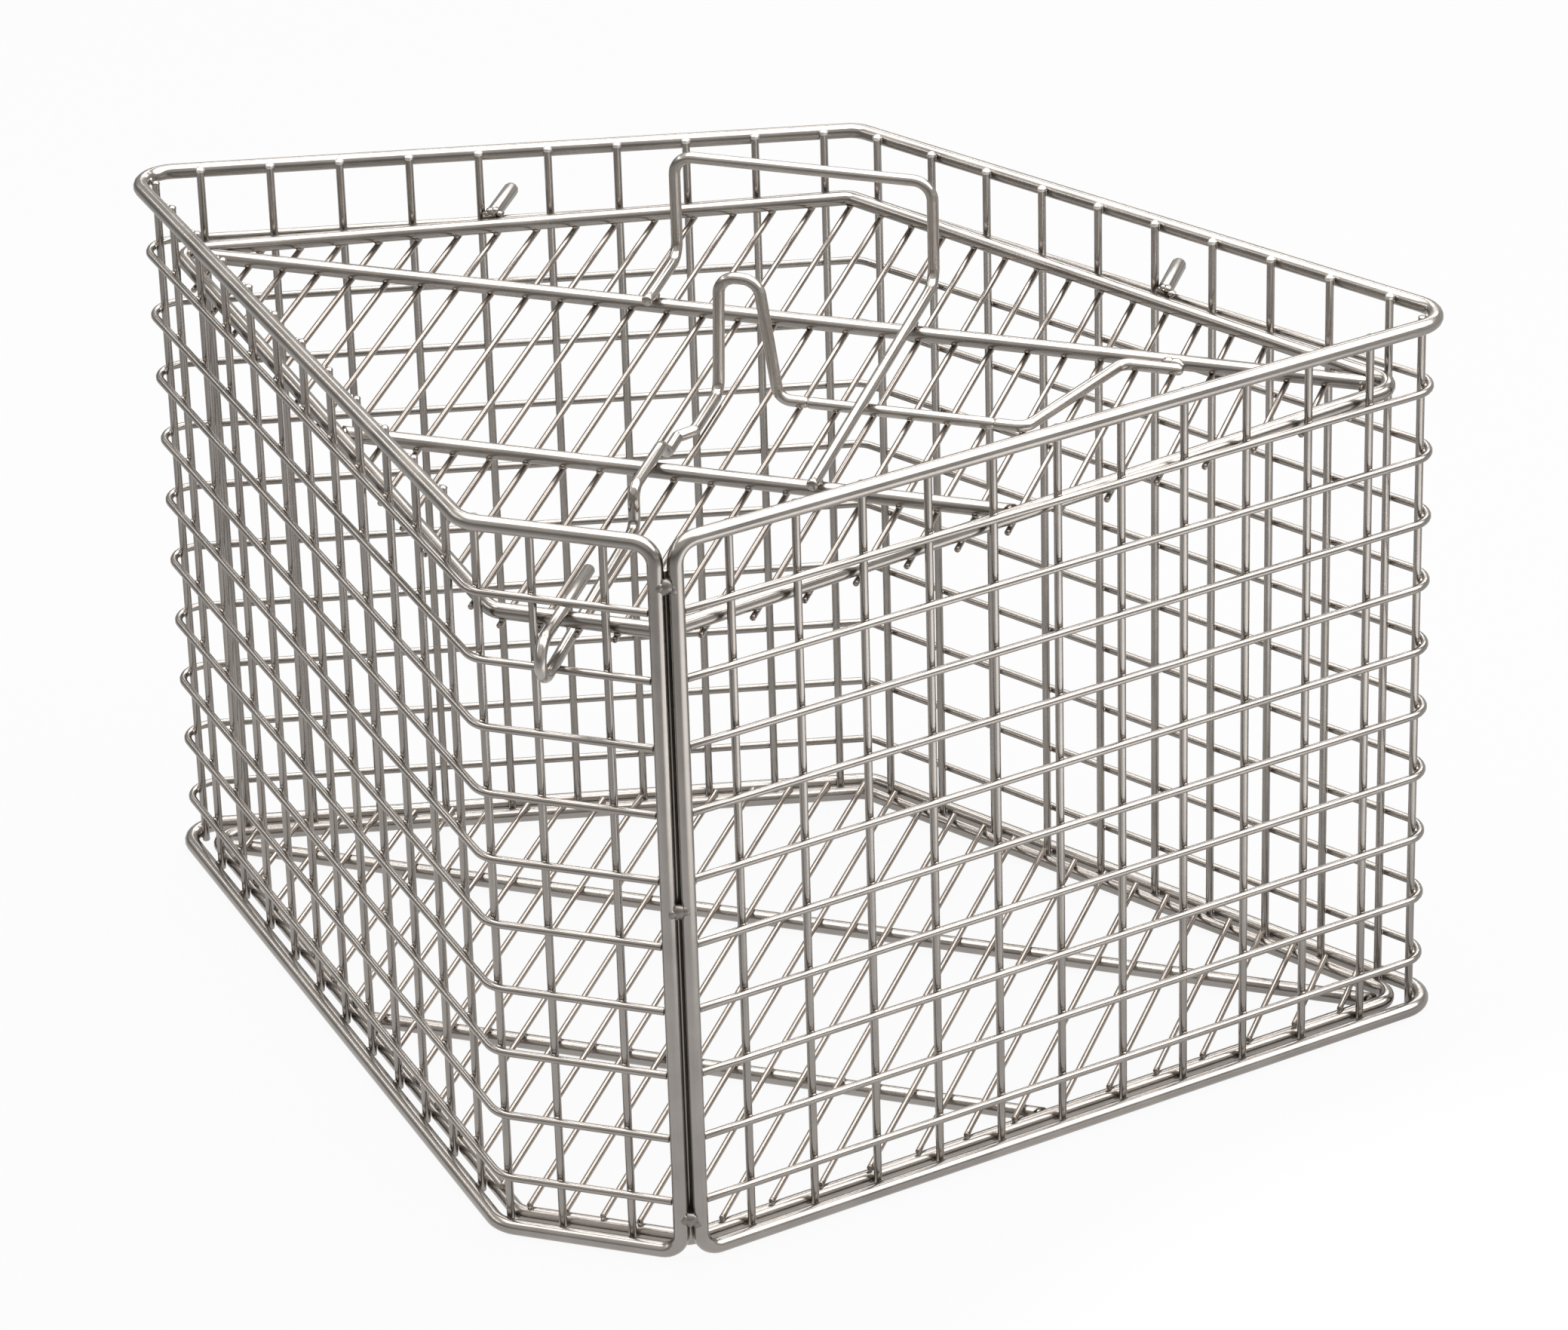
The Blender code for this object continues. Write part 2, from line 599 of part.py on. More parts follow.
hook_bends += [LATCH_BEND, LATCH_BEND, DROP_BEND, DROP_BEND, HOOK_TURN_R * turn_share, HOOK_TURN_R * turn_share, 0]
hook_path = [p - hook_start for p in bend(hook_points, hook_bends)]
piece("latch_hook", hook_axis, [dict(path=hook_path, radius=SPRING_R, sides=WIRE_SIDES)])

# What the record states, worked out from the names above
bpy.context.view_layer.update()


def shown(vector):
    return [round(c, 6) for c in vector]


print("row origin", shown(ORIGIN))
print("hinge line", shown((hinge_left - hinge_right).normalized()))
for axis in (lid, arm_axis, hook_axis):
    print(axis.name, shown(axis.matrix_world.translation), shown(axis.matrix_world.to_3x3() @ v(0, 0, 1)))
print("latch turn in degrees:", math.degrees(FLEX_TURN))
for made in bpy.data.objects:
    if made.type == "MESH" and not made.hide_render:
        corners = [made.matrix_world @ Vector(c) for c in made.bound_box]
        low = [round(min(c[i] for c in corners) * 1000, 1) for i in range(3)]
        high = [round(max(c[i] for c in corners) * 1000, 1) for i in range(3)]
        print(made.name, "from", low, "to", high, "mm")
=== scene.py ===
# %% [markdown]
# # A wedge-shaped basket of polished steel wire
#
# The real basket is cut, bent and spot welded from four thicknesses of round stainless
# wire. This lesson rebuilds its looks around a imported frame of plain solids. The frame
# decides where everything is and what moves, so each wire here is swept along the same
# route as its solid and then stands in for it.

# %% Load the frame
import math
import random

import bpy
import numpy as np
from mathutils import Matrix, Vector


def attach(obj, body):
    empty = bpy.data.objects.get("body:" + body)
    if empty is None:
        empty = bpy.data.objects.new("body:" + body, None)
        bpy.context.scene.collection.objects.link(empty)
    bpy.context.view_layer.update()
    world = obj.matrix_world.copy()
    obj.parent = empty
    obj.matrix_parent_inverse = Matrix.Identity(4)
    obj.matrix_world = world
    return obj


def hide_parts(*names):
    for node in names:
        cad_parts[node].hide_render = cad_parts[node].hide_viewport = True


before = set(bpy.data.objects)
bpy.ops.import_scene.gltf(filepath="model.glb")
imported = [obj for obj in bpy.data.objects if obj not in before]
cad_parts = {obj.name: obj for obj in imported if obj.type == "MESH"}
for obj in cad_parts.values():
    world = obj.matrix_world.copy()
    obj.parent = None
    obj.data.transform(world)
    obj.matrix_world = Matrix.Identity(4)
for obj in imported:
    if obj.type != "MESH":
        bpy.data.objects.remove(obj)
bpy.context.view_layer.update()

# %% [markdown]
# ## Camera
#
# The photograph was taken from the front right, looking down at about twenty-eight
# degrees, through a long lens that hardly narrows the far side. The camera here stands
# where the basket's own welded grid says it stood: parallel wires give its direction and
# the one inch openings give its distance.

# %% Camera
CAMERA_PLACE = (0.752688, -2.222948, 1.428965)
CAMERA_RIGHT = Vector((0.954219, 0.297912, -0.026719))
CAMERA_UP = Vector((-0.118380, 0.458183, 0.880939))
LENS_MM = 153.17
SENSOR_MM = 36
VIEW_SHIFT = (0.0032, -0.0122)


def add_object(name, data):
    """A new object with this data, linked into the scene."""
    made = bpy.data.objects.new(name, data)
    bpy.context.scene.collection.objects.link(made)
    return made


camera_data = bpy.data.cameras.new("studio_camera")
camera_data.sensor_width = SENSOR_MM
camera_data.lens = LENS_MM
camera_data.shift_x, camera_data.shift_y = VIEW_SHIFT
camera = add_object("studio_camera", camera_data)
right = CAMERA_RIGHT.normalized()
backward = right.cross(CAMERA_UP).normalized()
up = backward.cross(right)
turn = Matrix((right, up, backward)).transposed()
camera.matrix_world = Matrix.Translation(CAMERA_PLACE) @ turn.to_4x4()
bpy.context.scene.camera = camera
bpy.context.scene.view_settings.view_transform = "Standard"
print("camera looks down by", round(math.degrees(math.asin(backward.z)), 1), "degrees")

# %% [markdown]
# ## Shader nodes in one line
#
# Polished steel has no colour of its own to speak of: it shows the room, so most of the
# likeness is made by the surroundings. These are built from shader nodes. Clicking them
# together by hand works too, but a helper makes and links each node in one line.


# %% Node helpers
def node(tree, kind, **values):
    """A shader node; each value is a setting, a socket's constant or a node's output."""
    made = tree.nodes.new(kind)
    for key, value in values.items():
        if hasattr(made, key):
            setattr(made, key, value)
        else:
            feed(tree, made.inputs[key.replace("_", " ")], value)
    return made


def feed(tree, socket, value):
    """Link another node's output to a socket, or set the socket's own value."""
    if isinstance(value, bpy.types.NodeSocket):
        tree.links.new(value, socket)
    else:
        socket.default_value = value


def calculate(tree, operation, *values):
    """The result of a math node over numbers or other nodes' outputs."""
    made = node(tree, "ShaderNodeMath", operation=operation)
    for socket, value in zip(made.inputs, values):
        feed(tree, socket, value)
    return made.outputs[0]


def remap(tree, value, before, after=(0.0, 1.0)):
    """A value moved from one range to another and held inside it."""
    ranged = node(tree, "ShaderNodeMapRange", Value=value, From_Min=before[0],
                  From_Max=before[1], To_Min=after[0], To_Max=after[1])
    return ranged.outputs["Result"]


def mix(tree, factor, first, second, blend_type="MIX"):
    """Two colours blended by a factor."""
    blended = node(tree, "ShaderNodeMix", data_type="RGBA", blend_type=blend_type,
                   Factor=factor, A=first, B=second)
    return blended.outputs["Result"]


def seen_directly(tree, rays):
    """One for a ray from the camera or through something clear, nought for a reflection."""
    return calculate(tree, "MAXIMUM", rays.outputs["Is Camera Ray"],
                     rays.outputs["Is Transmission Ray"])


# %% [markdown]
# ## Room
#
# What a wire reflects sideways is the walls. The brightness across each photographed rim
# tells where its reflections came from: the walls at the back right were bright low down,
# those at the left and behind the camera dim low down and bright above. Two ramps by
# height, mixed by direction, stand for both. A ray straight from the camera sees plain
# white, so the backdrop is white without any more light on the basket.

# %% World
WHITE = (1, 1, 1, 1)
WALL_TINT = (1.0, 0.985, 0.96)
BRIGHT_SIDE = (0.80, 0.60, 0.0)
BRIGHT_STOPS = ((0.0, 1.0), (0.53, 1.0), (0.60, 0.58), (1.0, 0.45))
DIM_STOPS = ((0.0, 0.25), (0.53, 0.25), (0.60, 0.42), (0.72, 0.85), (1.0, 0.95))
TURN_RANGE = (-0.15, 0.25)


def wall_ramp(tree, stops, height):
    """The room's grey by height, from straight down to straight up."""
    ramp = node(tree, "ShaderNodeValToRGB", Fac=height)
    marks = ramp.color_ramp.elements
    while len(marks) < len(stops):
        marks.new(0.5)
    for mark, (place, grey) in zip(marks, stops):
        mark.position = place
        mark.color = (*(grey * part for part in WALL_TINT), 1)
    return ramp.outputs["Color"]


world = bpy.data.worlds.new("studio_room")
bpy.context.scene.world = world
world.use_nodes = True
tree = world.node_tree
tree.nodes.clear()
rays = node(tree, "ShaderNodeLightPath")
direction = node(tree, "ShaderNodeTexCoord").outputs["Generated"]
upward = node(tree, "ShaderNodeSeparateXYZ", Vector=direction).outputs["Z"]
height = remap(tree, upward, (-1.0, 1.0))
sideways = node(tree, "ShaderNodeVectorMath", operation="DOT_PRODUCT")
feed(tree, sideways.inputs[0], direction)
feed(tree, sideways.inputs[1], BRIGHT_SIDE)
turning = remap(tree, sideways.outputs["Value"], TURN_RANGE)
dim, bright = (wall_ramp(tree, stops, height) for stops in (DIM_STOPS, BRIGHT_STOPS))
room = mix(tree, turning, dim, bright)
backdrop = mix(tree, seen_directly(tree, rays), room, WHITE)
emit = node(tree, "ShaderNodeBackground", Strength=1.0, Color=backdrop)
node(tree, "ShaderNodeOutputWorld", Surface=emit.outputs[0])
print("room drawn with", len(tree.nodes), "nodes")

# %% [markdown]
# ## Table
#
# The basket stands on a white sheet that runs on past the picture. For the camera the
# sheet is nearly all glow, so it photographs white and still takes a faint shadow. In a
# reflection it is darker except for a round patch near the basket, where the real sheet
# was lit best. That patch is a painted pool of light: glow in the sheet's own material,
# not a lamp, which only reflections see. It gives the lower flank of each wire its middle
# grey.

# %% White table
TABLE_HALF = 14.0
TABLE_DROP = 0.0004
TABLE_CORNERS = ((-1, -1), (1, -1), (1, 1), (-1, 1))
PAPER_GLOW = 0.94
# painted pool of light on the sheet, seen only in reflections: its centre, the distances over which
# it fades, and its glow near and far
PAINTED_POOL_CENTRE = (-0.05, -0.15, 0.0)
PAINTED_POOL_EDGE = (0.28, 0.48)
PAINTED_POOL_SHARES = (0.95, 0.15)
PAPER_MATT = (0.27, 0.27, 0.27, 1)

table_mesh = bpy.data.meshes.new("white_table")
table_points = [(x * TABLE_HALF, y * TABLE_HALF, -TABLE_DROP) for x, y in TABLE_CORNERS]
table_mesh.from_pydata(table_points, [], [(0, 1, 2, 3)])
table = add_object("white_table", table_mesh)
table_paper = bpy.data.materials.new("white_paper")
table_paper.use_nodes = True
tree = table_paper.node_tree
tree.nodes.clear()
rays = node(tree, "ShaderNodeLightPath")
reach = node(tree, "ShaderNodeVectorMath", operation="DISTANCE")
feed(tree, reach.inputs[0], node(tree, "ShaderNodeTexCoord").outputs["Object"])
feed(tree, reach.inputs[1], PAINTED_POOL_CENTRE)
# painted pool of light: glow that fades out with distance from the patch, for glossy rays only
painted_pool_share = remap(tree, reach.outputs["Value"], PAINTED_POOL_EDGE, PAINTED_POOL_SHARES)
painted_pool_in_reflections = calculate(tree, "MULTIPLY", rays.outputs["Is Glossy Ray"], painted_pool_share)
share = calculate(tree, "MULTIPLY_ADD", seen_directly(tree, rays), PAPER_GLOW, painted_pool_in_reflections)
glow = node(tree, "ShaderNodeEmission", Strength=1.0, Color=WHITE)
matt = node(tree, "ShaderNodeBsdfDiffuse", Color=PAPER_MATT)
blend = node(tree, "ShaderNodeMixShader", Fac=share)
feed(tree, blend.inputs[1], matt.outputs[0])
feed(tree, blend.inputs[2], glow.outputs[0])
node(tree, "ShaderNodeOutputMaterial", Surface=blend.outputs[0])
table_mesh.materials.append(table_paper)
print("table is", 2 * TABLE_HALF, "m wide")

# %% [markdown]
# ## Lamps
#
# The broad white line along every wire's top is a large softbox that hangs level above the
# table, more to the right. A long box behind the basket edges the back rims, and a thin
# strip at the left draws a fine line down the left wall. A narrow spot shines straight down
# on the sheet at the right, so the wires there find something bright below them. The boxes
# are area lamps, because only a lamp with a size leaves a line on metal.

# %% Lamps
SOFTBOXES = (
    # name, place, aimed at, width, length, watts
    ("overhead_softbox", (1.10, 0.28, 1.95), (1.10, 0.28, 0.0), 4.6, 2.1, 152.0),
    ("back_softbox", (-0.15, 2.90, 2.10), (0.0, 0.0, 0.25), 2.8, 0.60, 30.0),
    ("left_strip", (-2.75, -0.10, 1.70), (0.0, 0.0, 0.25), 3.4, 0.20, 14.0),
)
POOL_PLACE = (0.55, -0.26, 1.90)
POOL_TARGET = (0.55, -0.26, 0.0)
POOL_WATTS = 1100.0
POOL_CONE = math.radians(24)
POOL_EDGE = 0.8
POOL_BULB = 0.05


def hang(name, kind, place, target, watts):
    """A lamp hung at a place and turned towards its target."""
    lamp = bpy.data.lights.new(name, kind)
    lamp.energy = watts
    holder = add_object(name, lamp)
    holder.location = place
    aim = Vector(target) - Vector(place)
    holder.rotation_euler = aim.to_track_quat("-Z", "Y").to_euler()
    return lamp


for name, place, target, width, length, watts in SOFTBOXES:
    softbox = hang(name, "AREA", place, target, watts)
    softbox.shape = "RECTANGLE"
    softbox.size = width
    softbox.size_y = length
pool = hang("table_pool", "SPOT", POOL_PLACE, POOL_TARGET, POOL_WATTS)
pool.spot_size = POOL_CONE
pool.spot_blend = POOL_EDGE
pool.shadow_soft_size = POOL_BULB
print("softboxes:", len(SOFTBOXES), "and one spot")

# %% [markdown]
# ## Sizes
#
# The wires are stock thicknesses: a quarter inch for the frame and rings, an eighth for
# the wall mesh, three thirty-seconds for the lid and floor rods, and three sixteenths for
# the handle and latch. The grid is one inch clear in the walls and half an inch clear
# between the rods. Everything below is placed from these and from the rim's plan.

# %% Wire and grid sizes
FRAME_R = 0.00635 / 2
FRAME_LOOK_R = FRAME_R * 0.996
MESH_R = 0.003175 / 2
ROD_R = 0.00238125 / 2
SPRING_R = 0.0047625 / 2
SEAT = 0.0003
MESH_PITCH = 0.0254 + 2 * MESH_R
ROD_PITCH = 0.0127 + 2 * ROD_R

ROW_SHIFT = Vector((0, -0.179038, 0.024737))
HOOPS = 10
JOINED_HOOP = 6
TOP_HOOP = MESH_PITCH * (HOOPS - 1)
RIM_RISE = 0.02976
RIM_LEVEL = TOP_HOOP + RIM_RISE
FOOT_LEVEL = -0.02167
UP = Vector((0, 0, 1))
RIGHTWARDS = Vector((1, 0, 0))
print("wall height", round((RIM_LEVEL - FOOT_LEVEL) * 1000), "mm between rim centres")

# %% [markdown]
# ## Plan of the rim
#
# From above, the rim is a pentagon: two long side walls run from a narrow front out to the
# widest place, and two back walls meet at the far corner. Every ring and hoop is the same
# pentagon moved inwards, so a few lines of plane geometry lay out all of them.

# %% Plan of the rim
SEAM, FRONT, LEFT, BACK, RIGHT = range(5)
CORNERS = [
    Vector((0.0395, 0, 0)),
    Vector((-0.0395, 0, 0)),
    Vector((-0.279, 0.261, 0)),
    Vector((0, 0.376, 0)),
    Vector((0.279, 0.261, 0)),
]


def edge_line(index, inset):
    """A point and a direction of one plan edge, moved inwards."""
    start = CORNERS[index % 5]
    along = (CORNERS[(index + 1) % 5] - start).normalized()
    return start + Vector((along.y, -along.x, 0)) * inset, along


def meet(first, second):
    """Where two lines of the plan cross."""
    (p, d), (q, e) = first, second
    t = ((q.x - p.x) * e.y - (q.y - p.y) * e.x) / (d.x * e.y - d.y * e.x)
    return p + d * t


def inset_corner(index, inset):
    """One corner of the plan moved inwards."""
    return meet(edge_line(index - 1, inset), edge_line(index, inset))


def span_at_x(x, inset):
    """Front and back of the inset outline along the line across at x."""
    outline = [inset_corner(i, inset) for i in range(5)]
    found = []
    for a, b in zip(outline, outline[1:] + outline[:1]):
        if (a.x - x) * (b.x - x) <= 0 and a.x != b.x:
            found.append(a.y + (b.y - a.y) * (x - a.x) / (b.x - a.x))
    return min(found), max(found)


print("rim depth", round((CORNERS[BACK].y - CORNERS[FRONT].y) * 1000), "mm")

# %% [markdown]
# ## Bends
#
# Wire is bent round a former, so no corner is sharp. Each corner of a route is replaced by
# an arc that touches both of its legs. A curve object with handles would do as well, but
# arcs keep the bend radius exact.

# %% Rounded corners
FRONT_BEND = 0.015
SIDE_BEND = 0.013
BACK_BEND = 0.0116
SEAM_BEND = 0.0085
RING_BEND = 0.008
RING_FRONT_BEND = 0.0091
BEND_STEPS = 9


def bend(points, radii, closed=False):
    """The route through the points with each corner rounded to its radius."""
    count = len(points)
    route = []
    for i, p in enumerate(points):
        if not closed and i in (0, count - 1):
            route.append(p.copy())
            continue
        before = (p - points[i - 1]).normalized()
        after = (points[(i + 1) % count] - p).normalized()
        angle = before.angle(after)
        axis = before.cross(after).normalized()
        reach = radii[i] * math.tan(angle / 2)
        centre = p - before * reach + axis.cross(before) * radii[i]
        arm = p - before * reach - centre
        for step in range(BEND_STEPS + 1):
            route.append(centre + Matrix.Rotation(angle * step / BEND_STEPS, 3, axis) @ arm)
    return route


print("a bend has", BEND_STEPS, "steps")

# %% [markdown]
# ## Stations along a wire
#
# A wire is a circle carried along a route without twisting. Blender's curve bevel could do
# it, but then nothing would mark where the wire was welded. Here the route gets extra
# points beside each weld, so that the heat tint can fade over a few millimetres.

# %% Stations along a route
HEAT_STEPS = (-0.0052, -0.0030, -0.0013, 0.0, 0.0013, 0.0030, 0.0052)
HEAT_CORE = 0.003
HEAT_REACH = 0.0034
OWN_WELD = 0.008
LEAST_STEP = 0.0004
DIGITS = 6
TINY = 1e-16


def lengths(route, closed):
    """How far along the route each of its points lies."""
    legs = np.diff(np.vstack([route, route[:1]]) if closed else route, axis=0)
    return np.concatenate([[0.0], np.cumsum(np.linalg.norm(legs, axis=1))])


def add_stations(route, closed, spots):
    """The route with extra points beside each weld that lies on it."""
    route = np.array([tuple(p) for p in route])
    if len(spots) == 0:
        return route
    run = lengths(route, closed)
    ends = np.vstack([route, route[:1]]) if closed else route
    a = ends[:-1]
    leg = ends[1:] - a
    size = np.maximum((leg ** 2).sum(1), TINY)
    extra = []
    for spot in np.array([tuple(s) for s in spots]):
        t = np.clip(((spot - a) * leg).sum(1) / size, 0, 1)
        away = np.linalg.norm(a + leg * t[:, None] - spot, axis=1)
        best = int(away.argmin())
        if away[best] < OWN_WELD:
            extra += [run[best] + t[best] * math.sqrt(size[best]) + s for s in HEAT_STEPS]
    total = run[-1]
    if closed:
        extra = [s % total for s in extra]
    own = run[:-1] if closed else run
    inside = [s for s in extra if 0 < s < total]
    wanted = sorted(set(np.round(own, DIGITS)) | set(np.round(inside, DIGITS)))
    kept = [wanted[0]]
    for s in wanted[1:]:
        if s - kept[-1] > LEAST_STEP:
            kept.append(s)
    if not closed:
        kept[-1] = total
    return np.column_stack([np.interp(kept, run, ends[:, k]) for k in range(3)])


def heat_along(path, spots):
    """How warm each station got: full beside a weld, then fading out."""
    heat = np.zeros(len(path))
    for spot in spots:
        away = np.linalg.norm(path - np.array(tuple(spot)), axis=1)
        fading = np.maximum(away - HEAT_CORE, 0) / HEAT_REACH
        heat = np.maximum(heat, np.exp(-(fading ** 2)))
    return heat


print("heat fades out", round((HEAT_CORE + 2 * HEAT_REACH) * 1000), "mm from a weld")

# %% [markdown]
# ## The sweep
#
# Each station becomes a ring of points, and neighbouring rings are joined by faces. The
# end of a cut wire is slightly crowned, a finished end is a half ball, and an end that
# meets another wire at a slant is cut to that slant. Every point also stores its place on
# the wire, so that the fine drawing lines can run along it round every bend.

# %% The sweep itself
THICK_SIDES, WIRE_SIDES, THIN_SIDES = 16, 12, 10
TIP_STEPS = 4
TIP_HOLE = 0.3
CAP_DOME = 0.35
STEEP = 0.9


def add_dome(path, sizes, radius, depth):
    """The last point drawn in by the dome's depth and followed by shrinking rings."""
    tip = path[-1]
    out = (tip - path[-2]) / np.linalg.norm(tip - path[-2])
    angles = [math.pi / 2 * (k + 1) / (TIP_STEPS + TIP_HOLE) for k in range(TIP_STEPS)]
    dome = [tip + out * depth * (math.sin(a) - 1) for a in angles]
    dome_sizes = [radius * math.cos(a) for a in angles]
    return np.vstack([path[:-1], [tip - out * depth], dome]), np.concatenate([sizes, dome_sizes])


def carried_frames(path, closed):
    """The tangent and two cross directions at each station, carried without a twist."""
    count = len(path)
    normal = None
    for i in range(count):
        ahead = path[(i + 1) % count] if closed else path[min(i + 1, count - 1)]
        behind = path[i - 1] if closed else path[max(i - 1, 0)]
        tangent = (ahead - behind) / np.linalg.norm(ahead - behind)
        if normal is None:
            normal = np.array([0, 0, 1.0]) if abs(tangent[2]) < STEEP else np.array([0, 1.0, 0])
        normal = normal - tangent * (normal @ tangent)
        normal = normal / np.linalg.norm(normal)
        yield tangent, normal, np.cross(tangent, normal)


def tube_faces(count, sides, closed):
    """Quads between neighbouring rings, and a face over each open end."""
    faces = []
    for i in range(count if closed else count - 1):
        j = (i + 1) % count
        for k in range(sides):
            m = (k + 1) % sides
            faces.append((i * sides + k, i * sides + m, j * sides + m, j * sides + k))
    if not closed:
        faces.append(tuple(range(sides))[::-1])
        faces.append(tuple((count - 1) * sides + k for k in range(sides)))
    return faces


def sweep(route, radius, sides, closed=False, spots=(), tips=("flat", "flat"), cuts=(None, None)):
    """Rings of points round the route, the faces between them and two values per point."""
    path = add_stations(route, closed, spots)
    sizes = np.full(len(path), radius)
    for tip, cut in zip(tips, cuts):
        path, sizes = path[::-1], sizes[::-1]
        if not closed and cut is None:
            depth = radius if tip == "round" else radius * CAP_DOME
            path, sizes = add_dome(path, sizes, radius, depth)
    count = len(path)
    run = lengths(path, closed)
    theta = 2 * math.pi * (np.arange(sides) + 0.5) / sides
    circle = np.column_stack([np.cos(theta), np.sin(theta)])
    slants = {} if closed else {0: cuts[0], count - 1: cuts[1]}
    rings, marks = [], []
    for i, (tangent, normal, side) in enumerate(carried_frames(path, closed)):
        ring = path[i] + sizes[i] * (circle[:, :1] * normal + circle[:, 1:] * side)
        if slants.get(i) is not None:
            cut = np.array(slants[i])
            ring = ring - np.outer((ring - path[i]) @ cut / (tangent @ cut), tangent)
        rings.append(ring)
        marks.append(np.column_stack([circle * sizes[i], np.full(sides, run[i])]))
    heat = np.repeat(heat_along(path, spots), sides)
    return np.vstack(rings), tube_faces(count, sides, closed), heat, np.vstack(marks)


print("a finished wire end has", TIP_STEPS, "rings")

# %% [markdown]
# ## From swept wires to one piece
#
# All wires of one kind are joined into a single mesh, because they are one welded part.
# The piece then rides on its body, so it moves with the lid or the latch, and takes the
# place of the plain solids it stands for.

# %% One piece
SHARP_ANGLE = math.radians(60)


def make_piece(name, parts, material, body, node_names=()):
    """One object from many swept parts; it rides on a body and stands for its solids."""
    faces, start = [], 0
    for points, part_faces, heat, marks in parts:
        faces += [tuple(start + i for i in face) for face in part_faces]
        start += len(points)
    points, heat, marks = (np.concatenate([part[k] for part in parts]) for k in (0, 2, 3))
    mesh = bpy.data.meshes.new(name)
    mesh.from_pydata(points.tolist(), [], faces)
    stored = mesh.attributes.new("heat", "FLOAT", "POINT")
    stored.data.foreach_set("value", heat.astype(np.float32))
    stored = mesh.attributes.new("wire_place", "FLOAT_VECTOR", "POINT")
    stored.data.foreach_set("vector", marks.astype(np.float32).ravel())
    mesh.shade_smooth()
    mesh.set_sharp_from_angle(angle=SHARP_ANGLE)
    mesh.materials.append(material)
    piece = add_object(name, mesh)
    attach(piece, body)
    for solid in node_names:
        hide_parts(solid)
    print(name, "has", len(parts), "parts and", len(faces), "faces")


# %% [markdown]
# ## Polished steel
#
# Electropolishing leaves stainless wire bright but not mirror flat: drawing lines still
# run along it, the surface is faintly pitted, and near each spot weld it keeps a straw to
# olive tint and a duller skin. The lines are a noise stretched along the stored place on
# the wire, so they follow every bend, which a picture laid over the mesh wouldn't.

# %% Steel textures
LINE_STRETCH = (2200, 2200, 30)
LINE_NOISE = dict(Scale=1.0, Detail=3.0, Roughness=0.6)
CLOUD_NOISE = dict(Scale=38.0, Detail=4.0, Roughness=0.55)
PIT_NOISE = dict(Scale=900.0, Detail=2.0, Roughness=0.5)


def drawing_lines(tree):
    """Fine lines that follow the wire."""
    place = node(tree, "ShaderNodeAttribute", attribute_name="wire_place").outputs["Vector"]
    stretch = node(tree, "ShaderNodeMapping", Vector=place, Scale=LINE_STRETCH)
    return node(tree, "ShaderNodeTexNoise", Vector=stretch.outputs[0], **LINE_NOISE).outputs["Fac"]


def body_noise(tree, settings):
    """Clouds or pits that stay fixed to the object."""
    body = node(tree, "ShaderNodeTexCoord").outputs["Object"]
    return node(tree, "ShaderNodeTexNoise", Vector=body, **settings).outputs["Fac"]


print("drawing lines are stretched", round(LINE_STRETCH[0] / LINE_STRETCH[2]), "to one")

# %% [markdown]
# ## The steel's colour, gloss and relief
#
# One recipe makes every finish here. Clouds vary the grey a little, the drawing lines
# darken it, and the stored heat mixes in the weld's tint. The same clouds and heat make
# the skin slightly rougher, and lines with pits raise a very shallow bump.

# %% Steel recipe
CLOUD_STOPS = ((0.32, 0.88), (0.68, 1.10))
CLOUD_RANGE = (0.3, 0.7)
LINE_RANGE, LINE_GREYS, LINE_SHARE = (0.35, 0.65), (0.72, 1.0), 0.20
TINT_RANGE, TINT_SHARE = (0.15, 1.0), (0.0, 0.48)
CLOUD_ROUGHNESS = 0.10
HEAT_ROUGHNESS = 0.10
LINES_OVER_PITS = 2.0
LINE_DEPTH = 0.008
RELIEF_DEPTH = 0.00015


def steel_colour(tree, tint, warm, lines, clouds, heat):
    """Cloudy grey, darker in the drawing lines and tinted beside a weld."""
    shade = node(tree, "ShaderNodeValToRGB", Fac=clouds)
    for mark, (place, gain) in zip(shade.color_ramp.elements, CLOUD_STOPS):
        mark.position = place
        mark.color = (*(min(part * gain, 1) for part in tint), 1)
    line_grey = remap(tree, lines, LINE_RANGE, LINE_GREYS)
    drawn = mix(tree, LINE_SHARE, shade.outputs["Color"], line_grey, "MULTIPLY")
    return mix(tree, remap(tree, heat, TINT_RANGE, TINT_SHARE), drawn, (*warm, 1))


def polished_steel(name, tint, warm, shine, line_depth=LINE_DEPTH):
    """Bright drawn wire; warm is the tint beside a weld and shine the smoothest roughness."""
    made = bpy.data.materials.new(name)
    made.use_nodes = True
    tree = made.node_tree
    lines = drawing_lines(tree)
    clouds = body_noise(tree, CLOUD_NOISE)
    pits = body_noise(tree, PIT_NOISE)
    heat = node(tree, "ShaderNodeAttribute", attribute_name="heat").outputs["Fac"]
    gloss = remap(tree, clouds, CLOUD_RANGE, (shine, shine + CLOUD_ROUGHNESS))
    relief = calculate(tree, "MULTIPLY_ADD", lines, LINES_OVER_PITS, pits)
    bump = node(tree, "ShaderNodeBump", Strength=line_depth, Distance=RELIEF_DEPTH, Height=relief)
    shader = tree.nodes["Principled BSDF"]
    shader.inputs["Metallic"].default_value = 1.0
    feed(tree, shader.inputs["Base Color"], steel_colour(tree, tint, warm, lines, clouds, heat))
    roughness = calculate(tree, "MULTIPLY_ADD", heat, HEAT_ROUGHNESS, gloss)
    feed(tree, shader.inputs["Roughness"], roughness)
    feed(tree, shader.inputs["Normal"], bump.outputs[0])
    print(name, "has", len(tree.nodes), "nodes")
    return made
